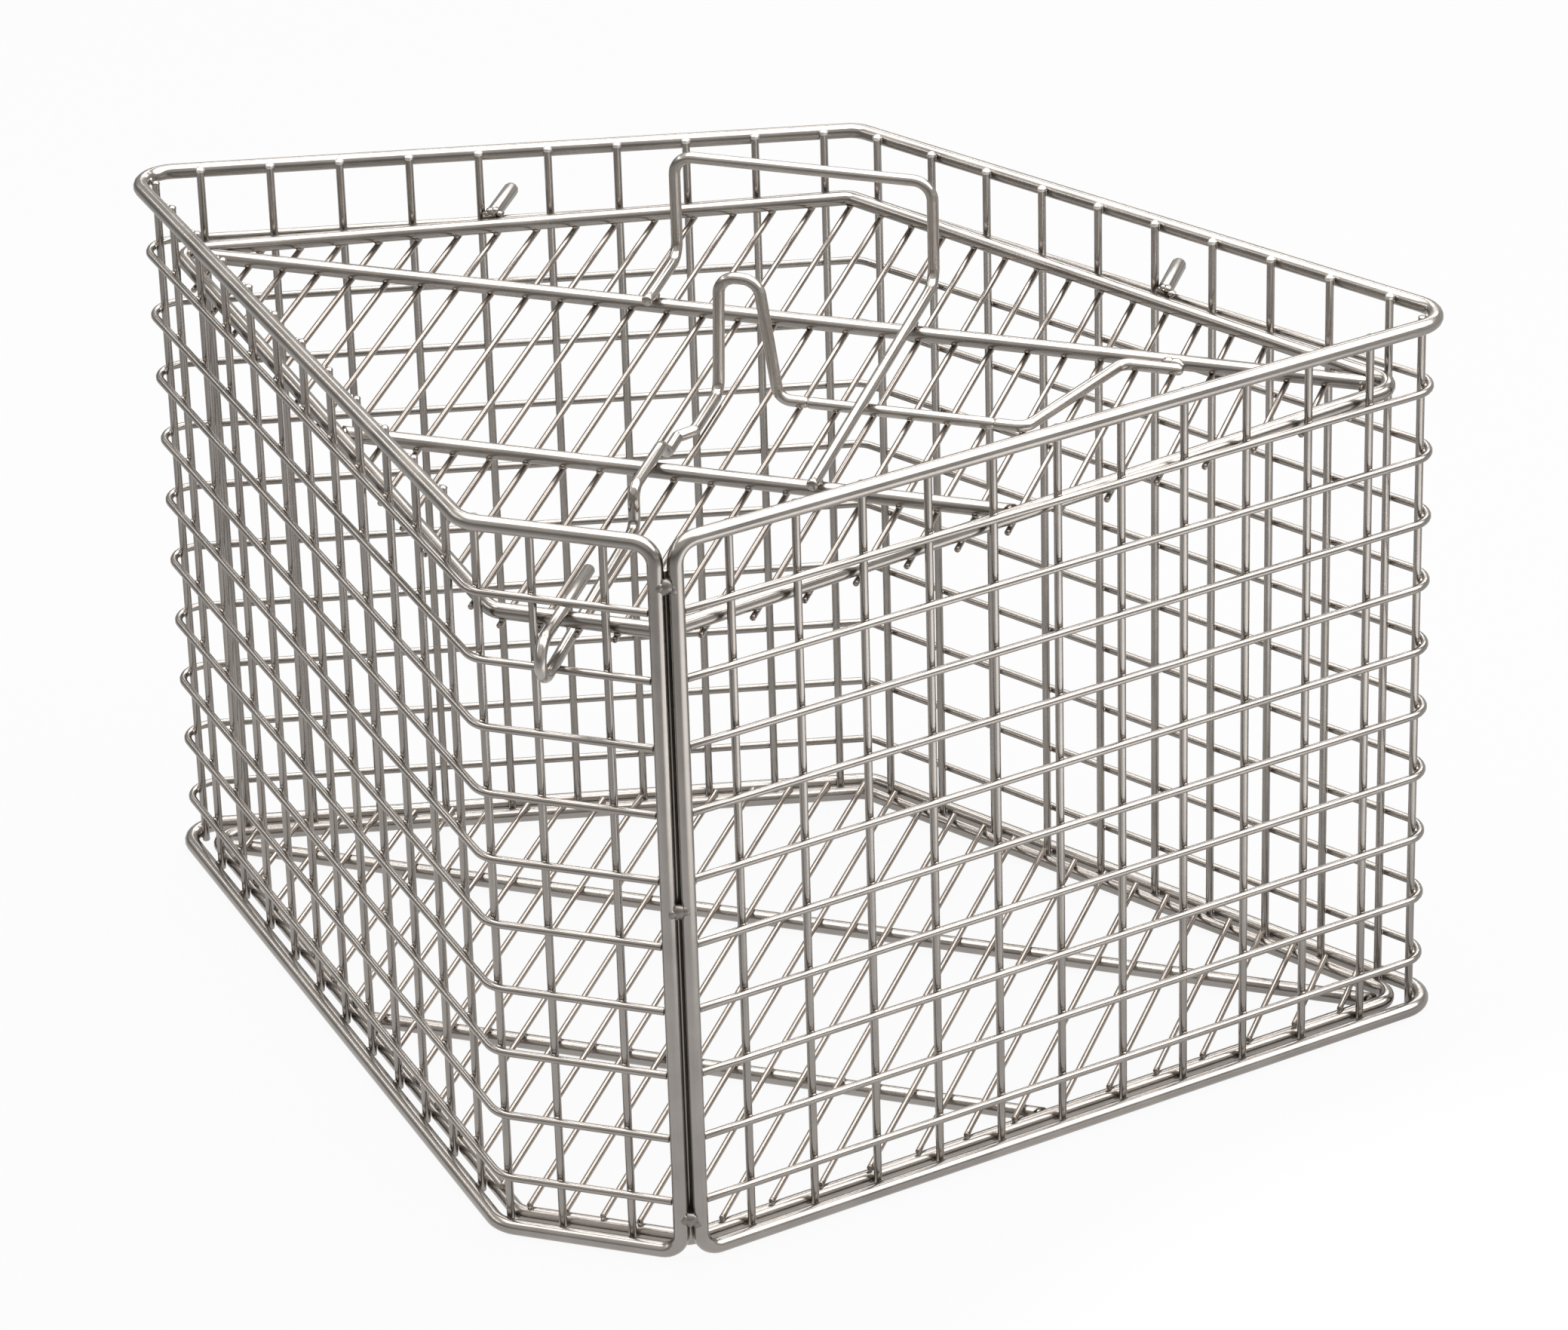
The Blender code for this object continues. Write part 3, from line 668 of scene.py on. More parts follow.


# %% [markdown]
# ## Seven finishes and a painted highlight
#
# The greys were matched to the photograph wire by wire. The spring wire is the palest
# wire and the beads in the seam are the dullest. The crowned upper ends on the back walls
# look white, because they face the softbox; their colour is a painted highlight.

# %% The finishes
OLIVE = (0.155, 0.128, 0.104)
STRAW = (0.20, 0.155, 0.125)
# pale tint beside a weld for the crowns whose colour is a painted highlight
PAINTED_HIGHLIGHT_WARM = (0.62, 0.60, 0.57)
frame_finish = polished_steel("frame_wire_steel", (0.318, 0.294, 0.272), OLIVE, 0.185)
mesh_finish = polished_steel("mesh_wire_steel", (0.308, 0.283, 0.261), OLIVE, 0.17)
rod_finish = polished_steel("rod_wire_steel", (0.330, 0.286, 0.254), STRAW, 0.15)
spring_finish = polished_steel("spring_wire_steel", (0.390, 0.362, 0.334), OLIVE, 0.17)
weld_finish = polished_steel("weld_nugget_steel", (0.36, 0.33, 0.305), STRAW, 0.16, 0.04)
groove_finish = polished_steel("seam_groove_steel", (0.34, 0.31, 0.28), OLIVE, 0.30)
nugget_finish = polished_steel("seam_nugget_steel", (0.235, 0.215, 0.197), OLIVE, 0.36, 0.12)
# painted highlight: the back walls' crowned ends are coloured nearly white for the softbox they face
dome_painted_highlight = polished_steel("upright_dome_painted_highlight", (0.74, 0.72, 0.69), PAINTED_HIGHLIGHT_WARM, 0.26, 0.02)

# %% [markdown]
# ## Weld nuggets
#
# Where two wires were pressed together and spot welded, the metal between them squeezed
# out into a small collar. A squashed and slightly lumpy bead at each crossing shows it. It
# also bridges the hair of air that the plain solids keep between the pieces.

# %% One nugget
DICE = random.Random(7)
BEAD_ROWS = 5
BEAD_COLUMNS = 10
BEAD_HEAT = 0.55
BEAD_GRAIN = 0.3


def nugget(place, across, along, out, sizes, lump=0.10):
    """A closed bead with its own three half sizes, roughened a little."""
    points = [place + out * sizes[2]]
    for r in range(1, BEAD_ROWS):
        tilt = math.pi * r / BEAD_ROWS
        for c in range(BEAD_COLUMNS):
            spin = 2 * math.pi * c / BEAD_COLUMNS
            grow = 1 + DICE.uniform(-lump, lump)
            offset = across * (math.cos(spin) * math.sin(tilt) * sizes[0])
            offset = offset + along * (math.sin(spin) * math.sin(tilt) * sizes[1])
            points.append(place + (offset + out * (math.cos(tilt) * sizes[2])) * grow)
    points.append(place - out * sizes[2])
    faces = []
    for c in range(BEAD_COLUMNS):
        d = (c + 1) % BEAD_COLUMNS
        faces.append((0, 1 + c, 1 + d))
        for r in range(BEAD_ROWS - 2):
            a = 1 + r * BEAD_COLUMNS
            b = a + BEAD_COLUMNS
            faces.append((a + c, b + c, b + d, a + d))
        last = 1 + (BEAD_ROWS - 2) * BEAD_COLUMNS
        faces.append((last + c, len(points) - 1, last + d))
    array = np.array([tuple(p) for p in points])
    marks = np.tile(np.array([0.0, 0.0, DICE.uniform(0, 1)]), (len(array), 1)) + array * BEAD_GRAIN
    return array, faces, np.full(len(array), BEAD_HEAT), marks


def varied(size, spread):
    """A half size that differs a little from bead to bead."""
    return size * DICE.uniform(*spread)


print("a nugget has", 2 + (BEAD_ROWS - 1) * BEAD_COLUMNS, "points")

# %% [markdown]
# ## The frame wire's route
#
# One thick wire goes all the way round the top, turns down at the seam in the front right
# corner, goes round the bottom and comes back up beside itself. One closed list of corners
# and bends is enough for all of it.

# %% Frame route
UPRIGHT_INSET = FRAME_R + MESH_R + SEAT
SEAM_SPACING = 0.0074


def seam_edge(end):
    """The plan direction from the seam's corner towards another corner."""
    return (CORNERS[end] - CORNERS[SEAM]).normalized()


def placed(points):
    """From the plan's own origin, on the front edge and the top hoop's foot, to the row."""
    return [p + ROW_SHIFT for p in points]


seam_turn = seam_edge(FRONT).angle(seam_edge(RIGHT))
seam_step = SEAM_SPACING / 2 / math.sin(seam_turn / 2)
seam_left = CORNERS[SEAM] + seam_edge(FRONT) * seam_step
seam_right = CORNERS[SEAM] + seam_edge(RIGHT) * seam_step
seam_middle = (seam_left + seam_right) / 2
seam_out = -(inset_corner(SEAM, SEAM_SPACING) - CORNERS[SEAM]).normalized()
seam_side = Vector((-seam_out.y, seam_out.x, 0))
rim_order = [seam_left, *(CORNERS[i] for i in (FRONT, LEFT, BACK, RIGHT)), seam_right]
rim_bends = [SEAM_BEND, FRONT_BEND, SIDE_BEND, BACK_BEND, SIDE_BEND, SEAM_BEND]
loop = [p + UP * RIM_LEVEL for p in rim_order] + [p + UP * FOOT_LEVEL for p in rim_order[::-1]]
frame_route = placed(bend(loop, rim_bends + rim_bends[::-1], closed=True))
print("the frame wire is", round(lengths(frame_route, True)[-1], 2), "m long")

# %% [markdown]
# ## Where the uprights stand
#
# The walls are welded mesh bent round inside the rims, so the uprights keep their pitch
# along each wall. Each row is counted from a corner. The ends are not level: the uprights
# of the back walls reach highest over the rim's middle, and those of the left wall end
# about level with it.

# %% Uprights in plan
BACK_HIGH = RIM_LEVEL + 0.0026
LEFT_HIGH = RIM_LEVEL - 0.0004
FRONT_HIGH = RIM_LEVEL + 0.0005
BACK_CROWN, LEFT_CROWN = 0.0020, 0.0018
UPRIGHT_ROWS = (
    # counted from, running to, first distance, how many, upper end, half size of its crown
    (BACK, LEFT, 0.01245, 10, BACK_HIGH, BACK_CROWN),
    (BACK, RIGHT, 0.01245, 10, BACK_HIGH, BACK_CROWN),
    (FRONT, LEFT, 0.0274, 12, LEFT_HIGH, LEFT_CROWN),
    (SEAM, RIGHT, 0.0274, 12, FRONT_HIGH, None),
    (FRONT, SEAM, 0.0223, 2, FRONT_HIGH, None),
    (FRONT, SEAM, 0.0, 1, FRONT_HIGH, None),
)
wall_bends = [r - UPRIGHT_INSET for r in (FRONT_BEND, FRONT_BEND, SIDE_BEND, BACK_BEND, SIDE_BEND)]
wall_line = bend([inset_corner(i, UPRIGHT_INSET) for i in range(5)], wall_bends, closed=True)


def nearest_on(route, p):
    """The closest point of a closed route, and the route's direction there."""
    best = None
    for i, a in enumerate(route):
        leg = route[(i + 1) % len(route)] - a
        t = max(0, min(1, (p - a).dot(leg) / leg.length_squared)) if leg.length > 0 else 0
        q = a + leg * t
        if best is None or (q - p).length < (best[0] - p).length:
            best = (q, leg.normalized())
    return best


def upright_at(corner, towards, distance):
    """The place and wall direction of an upright this far from a corner."""
    start = inset_corner(corner, UPRIGHT_INSET)
    along = (inset_corner(towards, UPRIGHT_INSET) - start).normalized()
    return nearest_on(wall_line, start + along * distance)


def outward(direction):
    """The plan direction out of the wall; the route runs clockwise round the basket."""
    return Vector((-direction.y, direction.x, 0))


uprights, upper_ends = [], []
for corner, towards, first, count, top, crown in UPRIGHT_ROWS:
    uprights += [upright_at(corner, towards, first + MESH_PITCH * k) for k in range(count)]
    upper_ends += [(top, crown)] * count
print("uprights:", len(uprights))

# %% [markdown]
# ## The frame wire
#
# One closed sweep makes the whole wire. It is told where the uprights are welded to it and
# where its own two legs are welded together, because the tint follows those places.

# %% Frame wire
SEAM_WELD_LEVELS = (0.2700, 0.1320, -0.0060)
rim_spots = []
for place, direction in uprights:
    on_rim = place + outward(direction) * (UPRIGHT_INSET - FRAME_R)
    rim_spots += [on_rim + UP * level + ROW_SHIFT for level in (RIM_LEVEL, FOOT_LEVEL)]
seam_face = seam_middle + seam_out * FRAME_R / 2
seam_spots = [seam_face + UP * level + ROW_SHIFT for level in SEAM_WELD_LEVELS]
frame_wire = sweep(frame_route, FRAME_LOOK_R, THICK_SIDES, closed=True, spots=rim_spots + seam_spots)
make_piece("polished_frame_wire", [frame_wire], frame_finish, "basket", ["frame_wire"])

# %% [markdown]
# ## The seam
#
# The two legs don't touch: a dark groove runs between them, with a mesh wire behind it.
# Three blobs of weld close it. Each is made as one large bead with a smaller lump at
# either side, because a single bead would look too even.

# %% Seam and rim beads
GROOVE_ENDS = (FOOT_LEVEL + 0.004, RIM_LEVEL - 0.012)
SEAM_BEAD, SEAM_LUMPINESS = (0.0039, 0.0033, 0.0023), 0.15
SIDE_BEAD, SIDE_LUMPINESS = (0.0019, 0.0023, 0.0015), 0.16
SIDE_BEAD_ACROSS, SIDE_BEAD_OUT = 0.0026, 0.0006
SIDE_BEAD_DROP = (-0.001, 0.002)
RIM_BEAD = (0.0013, 0.0016, 0.0009)

groove_depth = math.sqrt((FRAME_R + MESH_R) ** 2 - (SEAM_SPACING / 2) ** 2)
groove_place = seam_middle - seam_out * groove_depth
groove_route = placed([groove_place + UP * level for level in GROOVE_ENDS])
groove_wire = sweep(groove_route, MESH_R, THIN_SIDES)
make_piece("seam_groove_wire", [groove_wire], groove_finish, "basket")
beads = []
for spot in seam_spots:
    beads.append(nugget(spot, seam_side, UP, seam_out, SEAM_BEAD, SEAM_LUMPINESS))
    for side in (-1, 1):
        lump = spot + seam_side * side * SIDE_BEAD_ACROSS - UP * DICE.uniform(*SIDE_BEAD_DROP)
        lump = lump + seam_out * SIDE_BEAD_OUT
        beads.append(nugget(lump, seam_side, UP, seam_out, SIDE_BEAD, SIDE_LUMPINESS))
make_piece("seam_weld_beads", beads, nugget_finish, "basket")
beads = []
for k, spot in enumerate(rim_spots):
    direction = uprights[k // 2][1]
    beads.append(nugget(spot, direction, UP, outward(direction), RIM_BEAD))
make_piece("frame_weld_beads", beads, frame_finish, "basket")

# %% [markdown]
# ## Uprights
#
# Forty-seven uprights stand inside the rims. Every crossing with a hoop is a weld, so each
# carries the heat tint wherever it meets another wire. The cut ends have small crowns. On
# the back walls these show as white dots against the rim, because they face the softbox,
# so they are coloured nearly white as a painted highlight.

# %% Uprights
SOLID_SIDES = 12
UPRIGHT_LOW = FOOT_LEVEL - FRAME_R * math.cos(math.pi / SOLID_SIDES) + SEAT
ROUNDING = 1.02
CROWN_SINK, CROWN_FLATNESS, CROWN_LUMPINESS = 0.0006, 0.75, 0.06
MESH_BEAD, MESH_BEAD_OUT, MESH_LUMPINESS = 0.0013, 0.0011, 0.08
MESH_SPREAD = (0.9, 1.15)
hoop_levels = [TOP_HOOP - MESH_PITCH * k for k in range(HOOPS)]
crossings = {level: [] for level in hoop_levels}
upright_parts, wall_beads, domes = [], [], []
for (place, direction), (top, crown) in zip(uprights, upper_ends):
    out = outward(direction)
    spots = [place + UP * level + ROW_SHIFT for level in hoop_levels]
    ends = [place + UP * level + out * MESH_R + ROW_SHIFT for level in (RIM_LEVEL, FOOT_LEVEL)]
    route = placed([place + UP * UPRIGHT_LOW, place + UP * top])
    upright_parts.append(sweep(route, MESH_R * ROUNDING, WIRE_SIDES, spots=spots + ends))
    if crown:
        head = place + UP * (top - CROWN_SINK) + ROW_SHIFT
        sizes = (crown, crown, crown * CROWN_FLATNESS)
        bead = nugget(head, direction, out, UP, sizes, CROWN_LUMPINESS)
        # the back walls' crowns go to the piece coloured as a painted highlight
        (domes if crown == BACK_CROWN else wall_beads).append(bead)
    for level, spot in zip(hoop_levels, spots):
        crossings[level].append(spot + out * 2 * MESH_R)
        sizes = (varied(MESH_BEAD, MESH_SPREAD), varied(MESH_BEAD, MESH_SPREAD), MESH_BEAD_OUT)
        wall_beads.append(nugget(spot + out * MESH_R, direction, UP, out, sizes, MESH_LUMPINESS))
make_piece("mesh_uprights", upright_parts, mesh_finish, "basket", ["wall_uprights"])

# %% [markdown]
# ## Hoops
#
# Ten hoops run round outside the uprights, from one leg of the seam to the other. They all
# have the same plan, so one function makes the route for any height. The sixth is part of
# the uprights' solid, so only nine solids are left to stand in for.


# %% Hoops
def hoop_route(level, inset):
    """One hoop, from one seam wire round the basket to the other."""
    end_gap = FRAME_R + SEAT
    along = seam_edge(RIGHT)
    first = meet(edge_line(SEAM, inset), (seam_left - RIGHTWARDS * end_gap, Vector((0, 1, 0))))
    last = meet(edge_line(RIGHT, inset), (seam_right + along * end_gap, outward(along)))
    middle = [inset_corner(i, inset) for i in (FRONT, LEFT, BACK, RIGHT)]
    radii = [0, FRONT_BEND - inset, SIDE_BEND - inset, BACK_BEND - inset, SIDE_BEND - inset, 0]
    return placed(bend([p + UP * level for p in [first] + middle + [last]], radii))


hoop_parts = []
for level in hoop_levels:
    route = hoop_route(level, MESH_R)
    hoop_parts.append(sweep(route, MESH_R * ROUNDING, WIRE_SIDES, spots=crossings[level]))
hoop_names = [f"wall_hoop_{k:02d}" for k in range(1, HOOPS + 1) if k != JOINED_HOOP]
make_piece("mesh_hoops", hoop_parts, mesh_finish, "basket", hoop_names)
make_piece("mesh_weld_beads", wall_beads, weld_finish, "basket")
# crowns of the back walls, coloured nearly white as a painted highlight
make_piece("upright_domes", domes, dome_painted_highlight, "basket")

# %% [markdown]
# ## Where a grille lies
#
# Floor and lid are the same kind of grille: one welded ring with thin rods across it and
# two thick crossbars. The floor lies level inside the bottom rim. The lid slopes by three
# degrees, because its pins sit on the top hoop at the back and its latch holds it lower at
# the front. Two small functions turn a place in plan into a place on either.

# %% Grille places
LID_SLOPE = math.radians(2.94)
LID_RING_RISE = 0.00266
LID_PLAY = 0.00267
HINGE_DEPTH = 0.315165
FLOOR_INSET = UPRIGHT_INSET + MESH_R + SEAT + FRAME_R
LID_INSET = UPRIGHT_INSET + MESH_R + LID_PLAY + FRAME_R
ROD_END_PLAY = 0.0012
ROD_END_INSET = UPRIGHT_INSET + MESH_R + ROD_R + ROD_END_PLAY
ROD_SEAT = FRAME_R + ROD_R + SEAT
BAR_SUNK = SEAT + 0.0005
FLOOR_BACK_BAR, FLOOR_FRONT_BAR = 0.2495, 0.1316
LID_BACK_BAR, LID_FRONT_BAR = 0.2565, 0.1266
HINGE_PLACE = Vector((0, HINGE_DEPTH, TOP_HOOP)) + ROW_SHIFT
lid_turn = Matrix.Rotation(LID_SLOPE, 3, "X")


def on_lid(x, y, level):
    """A plan place at some height over the sloping ring's plane, in the row frame."""
    height = LID_RING_RISE + level
    slid = (y - HINGE_DEPTH + height * math.sin(LID_SLOPE)) / math.cos(LID_SLOPE)
    return HINGE_PLACE + lid_turn @ Vector((x, slid, height))


def on_floor(x, y, level):
    """A plan place at some height over the bottom rim's middle."""
    return Vector((x, y, FOOT_LEVEL + level)) + ROW_SHIFT


def flat(x, y, level=0.0):
    """The plan place itself."""
    return Vector((x, y, 0))


lid_rise = (on_lid(0, 0, 1) - on_lid(0, 0, 0)).normalized()
lid_back = lid_rise.cross(RIGHTWARDS)
print("lid slopes", round(math.degrees(LID_SLOPE), 1), "degrees")

# %% [markdown]
# ## Rings and crossbar ends
#
# A ring is the plan again, moved in until it clears the mesh. A crossbar butts against the
# ring where the ring runs at a slant, so its end is cut to that slant. How far it reaches
# is found by halving: try a length, measure the gap to the ring, and move half as far.

# %% Ring and bar ends
BAR_SEARCH = 0.3
HALVINGS = 30


def ring_route(inset, place):
    """The rounded pentagon of a ring, laid on the floor, the lid or the plan."""
    radii = [RING_FRONT_BEND, RING_FRONT_BEND, RING_BEND, RING_BEND, RING_BEND]
    corners = [inset_corner(i, inset) for i in range(5)]
    return bend([place(p.x, p.y, 0.0) for p in corners], radii, closed=True)


def bar_end(depth, inset):
    """How far across a crossbar reaches before it meets the ring, and its slanted cut."""
    line = ring_route(inset, flat)
    near, far = 0, BAR_SEARCH
    for i, a in enumerate(line):
        b = line[i - 1]
        if (a.y - depth) * (b.y - depth) <= 0 and a.y != b.y:
            far = min(far, max(b.x + (a.x - b.x) * (depth - b.y) / (a.y - b.y), 0) or far)
    for halving in range(HALVINGS):
        x = (near + far) / 2
        cut = (nearest_on(line, flat(x, depth))[0] - flat(x, depth)).normalized()
        slant = cut.y / cut.x
        ends = [flat(x - slant * side, depth + side) for side in (-FRAME_R, 0, FRAME_R)]
        gap = min((nearest_on(line, p)[0] - p).length for p in ends)
        if gap > FRAME_R:
            near = x
        else:
            far = x
    return near, cut


print("the lid's back bar reaches", round(bar_end(LID_BACK_BAR, LID_INSET)[0], 3), "m out")

# %% [markdown]
# ## Floor and lid grilles
#
# On the floor the thirty-three rods lie over the ring; on the lid they hang under it. One
# function lays out either, given where the grille's own plane is. Each rod is welded to the
# ring at both ends and to each bar it crosses.

# %% Grilles
RODS_EACH_SIDE = 16
ROD_BEAD, ROD_BEAD_UP, ROD_SPREAD = (0.0012, 0.0017), 0.0010, (0.9, 1.2)
BAR_BEAD, BAR_BEAD_BACK, BAR_LUMPINESS = (0.0036, 0.0028, 0.0016), 0.0002, 0.08


def grille(name, body, place, inset, rod_level, bar_lifts, solids):
    """Ring, two crossbars, thirty-three rods and their weld beads."""
    reaches = {depth: bar_end(depth, inset) for depth in bar_lifts}
    rise = (place(0, 0, 1) - place(0, 0, 0)).normalized()
    lengthwise = rise.cross(RIGHTWARDS)
    weld_level = rod_level / 2 + math.copysign((FRAME_R - ROD_R) / 2, rod_level)
    rods, beads, ring_spots, bar_spots = [], [], [], {depth: [] for depth in bar_lifts}
    for k in range(-RODS_EACH_SIDE, RODS_EACH_SIDE + 1):
        x = ROD_PITCH * k
        ends = [place(x, y, rod_level) for y in span_at_x(x, ROD_END_INSET)]
        welds = [(edge, ring_spots) for edge in span_at_x(x, inset)]
        welds += [(d, bar_spots[d]) for d in bar_lifts if abs(x) < reaches[d][0]]
        for y, spots in welds:
            sizes = (*(varied(size, ROD_SPREAD) for size in ROD_BEAD), ROD_BEAD_UP)
            spots.append(place(x, y, weld_level))
            beads.append(nugget(spots[-1], RIGHTWARDS, lengthwise, rise, sizes, BAR_LUMPINESS))
        rod_spots = [place(x, y, rod_level) for y, spots in welds]
        rods.append(sweep(ends, ROD_R * ROUNDING, THIN_SIDES, spots=rod_spots))
    bars = []
    for depth, lift in bar_lifts.items():
        reach, cut = reaches[depth]
        ends = [place(side * reach, depth, lift) for side in (-1, 1)]
        cuts = [place(side * cut.x, cut.y, 0) - place(0, 0, 0) for side in (-1, 1)]
        spots = bar_spots[depth] + ends
        bars.append(sweep(ends, FRAME_LOOK_R, THICK_SIDES, spots=spots, cuts=cuts))
        for end in (0, 1):
            inward = (ends[1 - end] - ends[end]).normalized()
            at = ends[end] - inward * BAR_BEAD_BACK
            beads.append(nugget(at, lengthwise, rise, inward, BAR_BEAD, BAR_LUMPINESS))
    ring_spots += [place(s * (reaches[d][0] + FRAME_R), d, 0) for d in bar_lifts for s in (-1, 1)]
    route = ring_route(inset, place)
    ring = sweep(route, FRAME_LOOK_R, THICK_SIDES, closed=True, spots=ring_spots)
    make_piece(name + "_ring_wire", [ring], frame_finish, body, solids[:1])
    make_piece(name + "_crossbar_wires", bars, frame_finish, body, solids[1:2])
    make_piece(name + "_rods", rods, rod_finish, body, solids[2:])
    make_piece(name + "_weld_beads", beads, weld_finish, body)


grille("floor_grille", "basket", on_floor, FLOOR_INSET, ROD_SEAT,
       {FLOOR_BACK_BAR: BAR_SUNK, FLOOR_FRONT_BAR: 0}, ("floor_ring", "floor_crossbar", "floor_rods"))
grille("lid_grille", "lid", on_lid, LID_INSET, -ROD_SEAT,
       {LID_BACK_BAR: -BAR_SUNK, LID_FRONT_BAR: 0}, ("lid_ring", "lid_crossbar", "lid_rods"))

# %% [markdown]
# ## Hinge pins
#
# Two stubs of thick wire are welded to the lid ring's back side and stick out through the
# mesh above the top hoop. They turn there when the lid opens. Their free ends are rounded
# over, and a lumpy weld of five overlapping beads holds each to the ring.

# %% Hinge pins
PIN_UPRIGHTS = ((5, LEFT), (15, BACK))
PIN_LEVEL = PIN_REACH = MESH_R + FRAME_R + SEAT
PIN_TIP = 0.0179
PIN_WELD_FRONT, PIN_WELD_UP = 0.0012, 0.0006
PIN_BEAD, PIN_LUMPINESS = (1.2, 1.0, 0.9), 0.18
PIN_LUMPS = (
    # along the ring, out of it, up, half size
    (-0.0018, 0.0008, 0.0014, 0.0013),
    (-0.0002, 0.0008, 0.0026, 0.0014),
    (0.0020, 0.0008, 0.0026, 0.0017),
    (0.0036, 0.0006, 0.0010, 0.0017),
    (0.0010, 0.0010, 0.0016, 0.0018),
)
rise = PIN_LEVEL - LID_RING_RISE
pin_parts, pin_beads = [], []
for number, edge in PIN_UPRIGHTS:
    x = uprights[number][0].x + PIN_REACH
    start = span_at_x(x, LID_INSET - FRAME_R)[1]
    tip = span_at_x(x, 0)[1] + PIN_TIP
    along = edge_line(edge, 0)[1]
    out = outward(along)
    route = [on_lid(x, start, rise), on_lid(x, tip, rise)]
    weld_place = on_lid(x, start - PIN_WELD_FRONT, rise / 2 + PIN_WELD_UP)
    pin_parts.append(sweep(route, FRAME_R, WIRE_SIDES, spots=[weld_place],
                           tips=("flat", "round"), cuts=(out, None)))
    for shift, deep, lift, size in PIN_LUMPS:
        lump = route[0] + along * shift + out * deep + UP * lift
        sizes = [size * part for part in PIN_BEAD]
        pin_beads.append(nugget(lump, along, out, UP, sizes, PIN_LUMPINESS))
make_piece("hinge_pin_wires", pin_parts, frame_finish, "lid",
           ["hinge_pin_left", "hinge_pin_right"])
make_piece("hinge_pin_welds", pin_beads, weld_finish, "lid")

# %% [markdown]
# ## Handle
#
# A three sixteenths inch wire bent into a low flat staple. Each foot turns forward and lies
# on the crossbars, a short one on the left and a long one on the right that reaches the
# front bar. Six corner points and one bend radius describe all of it.

# %% Handle
BAR_TOP = FRAME_R + SPRING_R + SEAT
GRIP = BAR_TOP + 0.0444
GRIP_BEND = 0.008
HANDLE_LEFT, HANDLE_RIGHT, HANDLE_DEPTH = -0.050, 0.0585, 0.2865
LEFT_FOOT_END, RIGHT_FOOT_END = 0.246, 0.118
FOOT_BEAD = (0.0021, 0.0028, 0.0013)
handle_corners = [
    on_lid(HANDLE_LEFT, LEFT_FOOT_END, BAR_TOP),
    on_lid(HANDLE_LEFT, HANDLE_DEPTH, BAR_TOP),
    on_lid(HANDLE_LEFT, HANDLE_DEPTH, GRIP),
    on_lid(HANDLE_RIGHT, HANDLE_DEPTH, GRIP),
    on_lid(HANDLE_RIGHT, HANDLE_DEPTH, BAR_TOP),
    on_lid(HANDLE_RIGHT, RIGHT_FOOT_END, BAR_TOP),
]
foot_welds = (
    (HANDLE_LEFT, LID_BACK_BAR), (HANDLE_RIGHT, LID_BACK_BAR), (HANDLE_RIGHT, LID_FRONT_BAR),
)
foot_spots = [on_lid(x, y, FRAME_R) for x, y in foot_welds]
handle_route = bend(handle_corners, [GRIP_BEND] * 6)
handle_part = sweep(handle_route, SPRING_R, WIRE_SIDES, spots=foot_spots)
foot_beads = [nugget(p, RIGHTWARDS, lid_back, lid_rise, FOOT_BEAD) for p in foot_spots]
make_piece("handle_wire", [handle_part], spring_finish, "lid", ["handle"])
make_piece("handle_weld_beads", foot_beads, weld_finish, "lid")

# %% [markdown]
# ## The latch's route
#
# The latch is one springy wire. It is welded beside the back crossbar, runs left as an arm,
# rises as a finger loop, and comes forward over the lid to hook under the mesh at the
# front. Drawing the loop back flexes the arm. Two hinges stand in for that flex, so the
# wire is routed in three lengths whose domed ends overlap.

# %% Latch routes
LATCH_LEVEL = -ROD_SEAT + ROD_R + SPRING_R + SEAT
LATCH_BEND, LOOP_BEND, JOG_BEND, DROP_BEND = 0.006, 0.0072, 0.003, 0.005
RUN_DEPTH = 0.1925
FLEX_RIGHT, FLEX_LEFT = 0.110, 0.034
WELD_DEPTH = LID_BACK_BAR - FRAME_R - SPRING_R - SEAT
leg_drop = -MESH_PITCH + MESH_R + SPRING_R + SEAT + (HINGE_DEPTH - MESH_R) * math.tan(LID_SLOPE)
LEG_LEVEL = leg_drop * math.cos(LID_SLOPE) - LID_RING_RISE
HOOK_LEVEL = BAR_TOP
HOOK_TURN = (HOOK_LEVEL - LEG_LEVEL) / 2
HOOK_BEND = HOOK_TURN * 0.999
HOOK_FRONT = -0.00935 - HOOK_TURN
LOOP_TOP = LATCH_LEVEL + 0.0505
LOOP_FOOT, LEG_X, TIP_X = -0.0026, -0.0075, -0.0045
LEG_RISE_DEPTH = 0.1420
LEG_DROP_DEPTH = 0.101
OVERLAP = 0.0009


def latch(x, y, level=LATCH_LEVEL):
    """A place on the lid, by default at the height where the latch lies on the rods."""
    return on_lid(x, y, level)


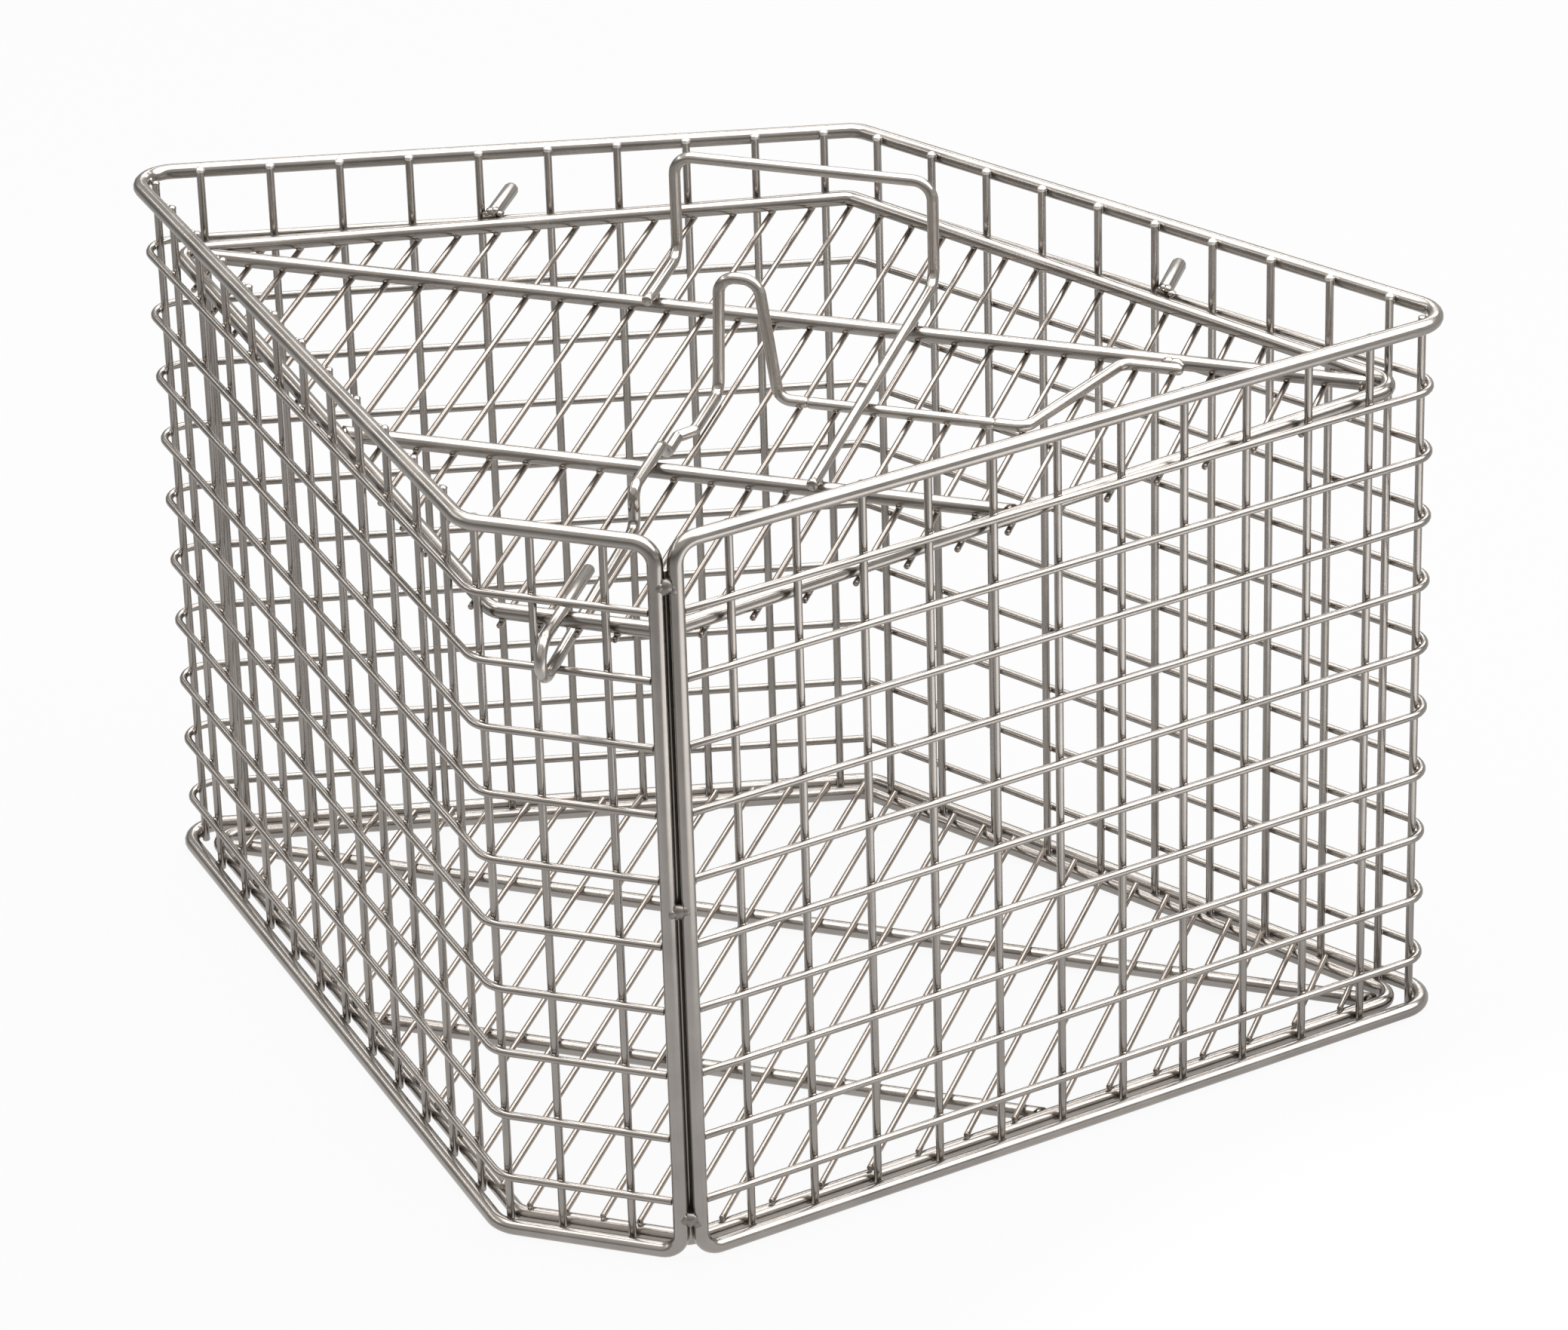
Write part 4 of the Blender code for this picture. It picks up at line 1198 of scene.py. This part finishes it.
root_corners = (
    (0.171, WELD_DEPTH), (0.146, WELD_DEPTH), (0.1225, RUN_DEPTH), (FLEX_RIGHT - OVERLAP, RUN_DEPTH),
)
arm_corners = ((FLEX_RIGHT + OVERLAP, RUN_DEPTH), (FLEX_LEFT - OVERLAP, RUN_DEPTH))
hook_corners = (
    # place in plan, perhaps a level, and the bend there
    ((FLEX_LEFT + OVERLAP, RUN_DEPTH), 0),
    ((0.0222, RUN_DEPTH), LATCH_BEND),
    ((0.0150, RUN_DEPTH, LOOP_TOP), LOOP_BEND),
    ((-0.0010, RUN_DEPTH, LOOP_TOP), LOOP_BEND),
    ((LOOP_FOOT, RUN_DEPTH), LATCH_BEND),
    ((LOOP_FOOT, 0.1610), JOG_BEND),
    ((LEG_X, 0.1550), JOG_BEND),
    ((LEG_X, LEG_RISE_DEPTH), LATCH_BEND),
    ((LEG_X, LEG_RISE_DEPTH - HOOK_LEVEL + LATCH_LEVEL, HOOK_LEVEL), LATCH_BEND),
    ((LEG_X, LEG_DROP_DEPTH, HOOK_LEVEL), DROP_BEND),
    ((LEG_X, LEG_DROP_DEPTH, LEG_LEVEL), DROP_BEND),
    ((TIP_X, HOOK_FRONT, LEG_LEVEL), HOOK_BEND),
    ((TIP_X, HOOK_FRONT, HOOK_LEVEL), HOOK_BEND),
    ((TIP_X, 0.040, HOOK_LEVEL), 0),
)
root_route = bend([latch(*p) for p in root_corners], [LATCH_BEND] * 4)
arm_route = [latch(*p) for p in arm_corners]
hook_route = bend([latch(*p) for p, radius in hook_corners], [radius for p, radius in hook_corners])
print("hook reaches", round(-HOOK_FRONT * 1000, 1), "mm past the front edge's middle")

# %% [markdown]
# ## The latch
#
# The arm is a hair thinner than its neighbours, so the domes at the two flexing places nest
# instead of sharing a surface. The weld at the root is three unequal lumps run together.

# %% Latch pieces
ARM_R = SPRING_R * 0.998
ROOT_SPOT_X, ROOT_SPOT_BACK = 0.159, 0.8
ROOT_BEAD_OUT, ROOT_LUMPINESS = 0.0020, 0.12
ROOT_LUMPS = (
    # across, back, up, half length, half height
    (0.159, 0.0000, 0.0, 0.0052, 0.0016),
    (0.1672, 0.0004, 0.0012, 0.0034, 0.0023),
    (0.1640, 0.0006, 0.0016, 0.0026, 0.0019),
)
root_spot = latch(ROOT_SPOT_X, WELD_DEPTH + SPRING_R * ROOT_SPOT_BACK)
latch_wires = (
    # piece, route, radius, welds, ends, body, solid
    ("latch_root_wire", root_route, SPRING_R, [root_spot], ("round", "round"), "lid", "latch_root"),
    ("latch_arm_wire", arm_route, ARM_R, [], ("round", "round"), "latch_flex", "latch_arm"),
    ("latch_hook_wire", hook_route, SPRING_R, [], ("round", "flat"), "latch", "latch_hook"),
)
for name, route, radius, spots, tips, body, solid in latch_wires:
    wire = sweep(route, radius, WIRE_SIDES, spots=spots, tips=tips)
    make_piece(name, [wire], spring_finish, body, [solid])
root_beads = []
for x, deep, lift, long, high in ROOT_LUMPS:
    lump = latch(x, WELD_DEPTH + SPRING_R + deep, LATCH_LEVEL + lift)
    sizes = (long, high, ROOT_BEAD_OUT)
    root_beads.append(nugget(lump, RIGHTWARDS, lid_rise, lid_back, sizes, ROOT_LUMPINESS))
make_piece("latch_weld_bead", root_beads, weld_finish, "lid")
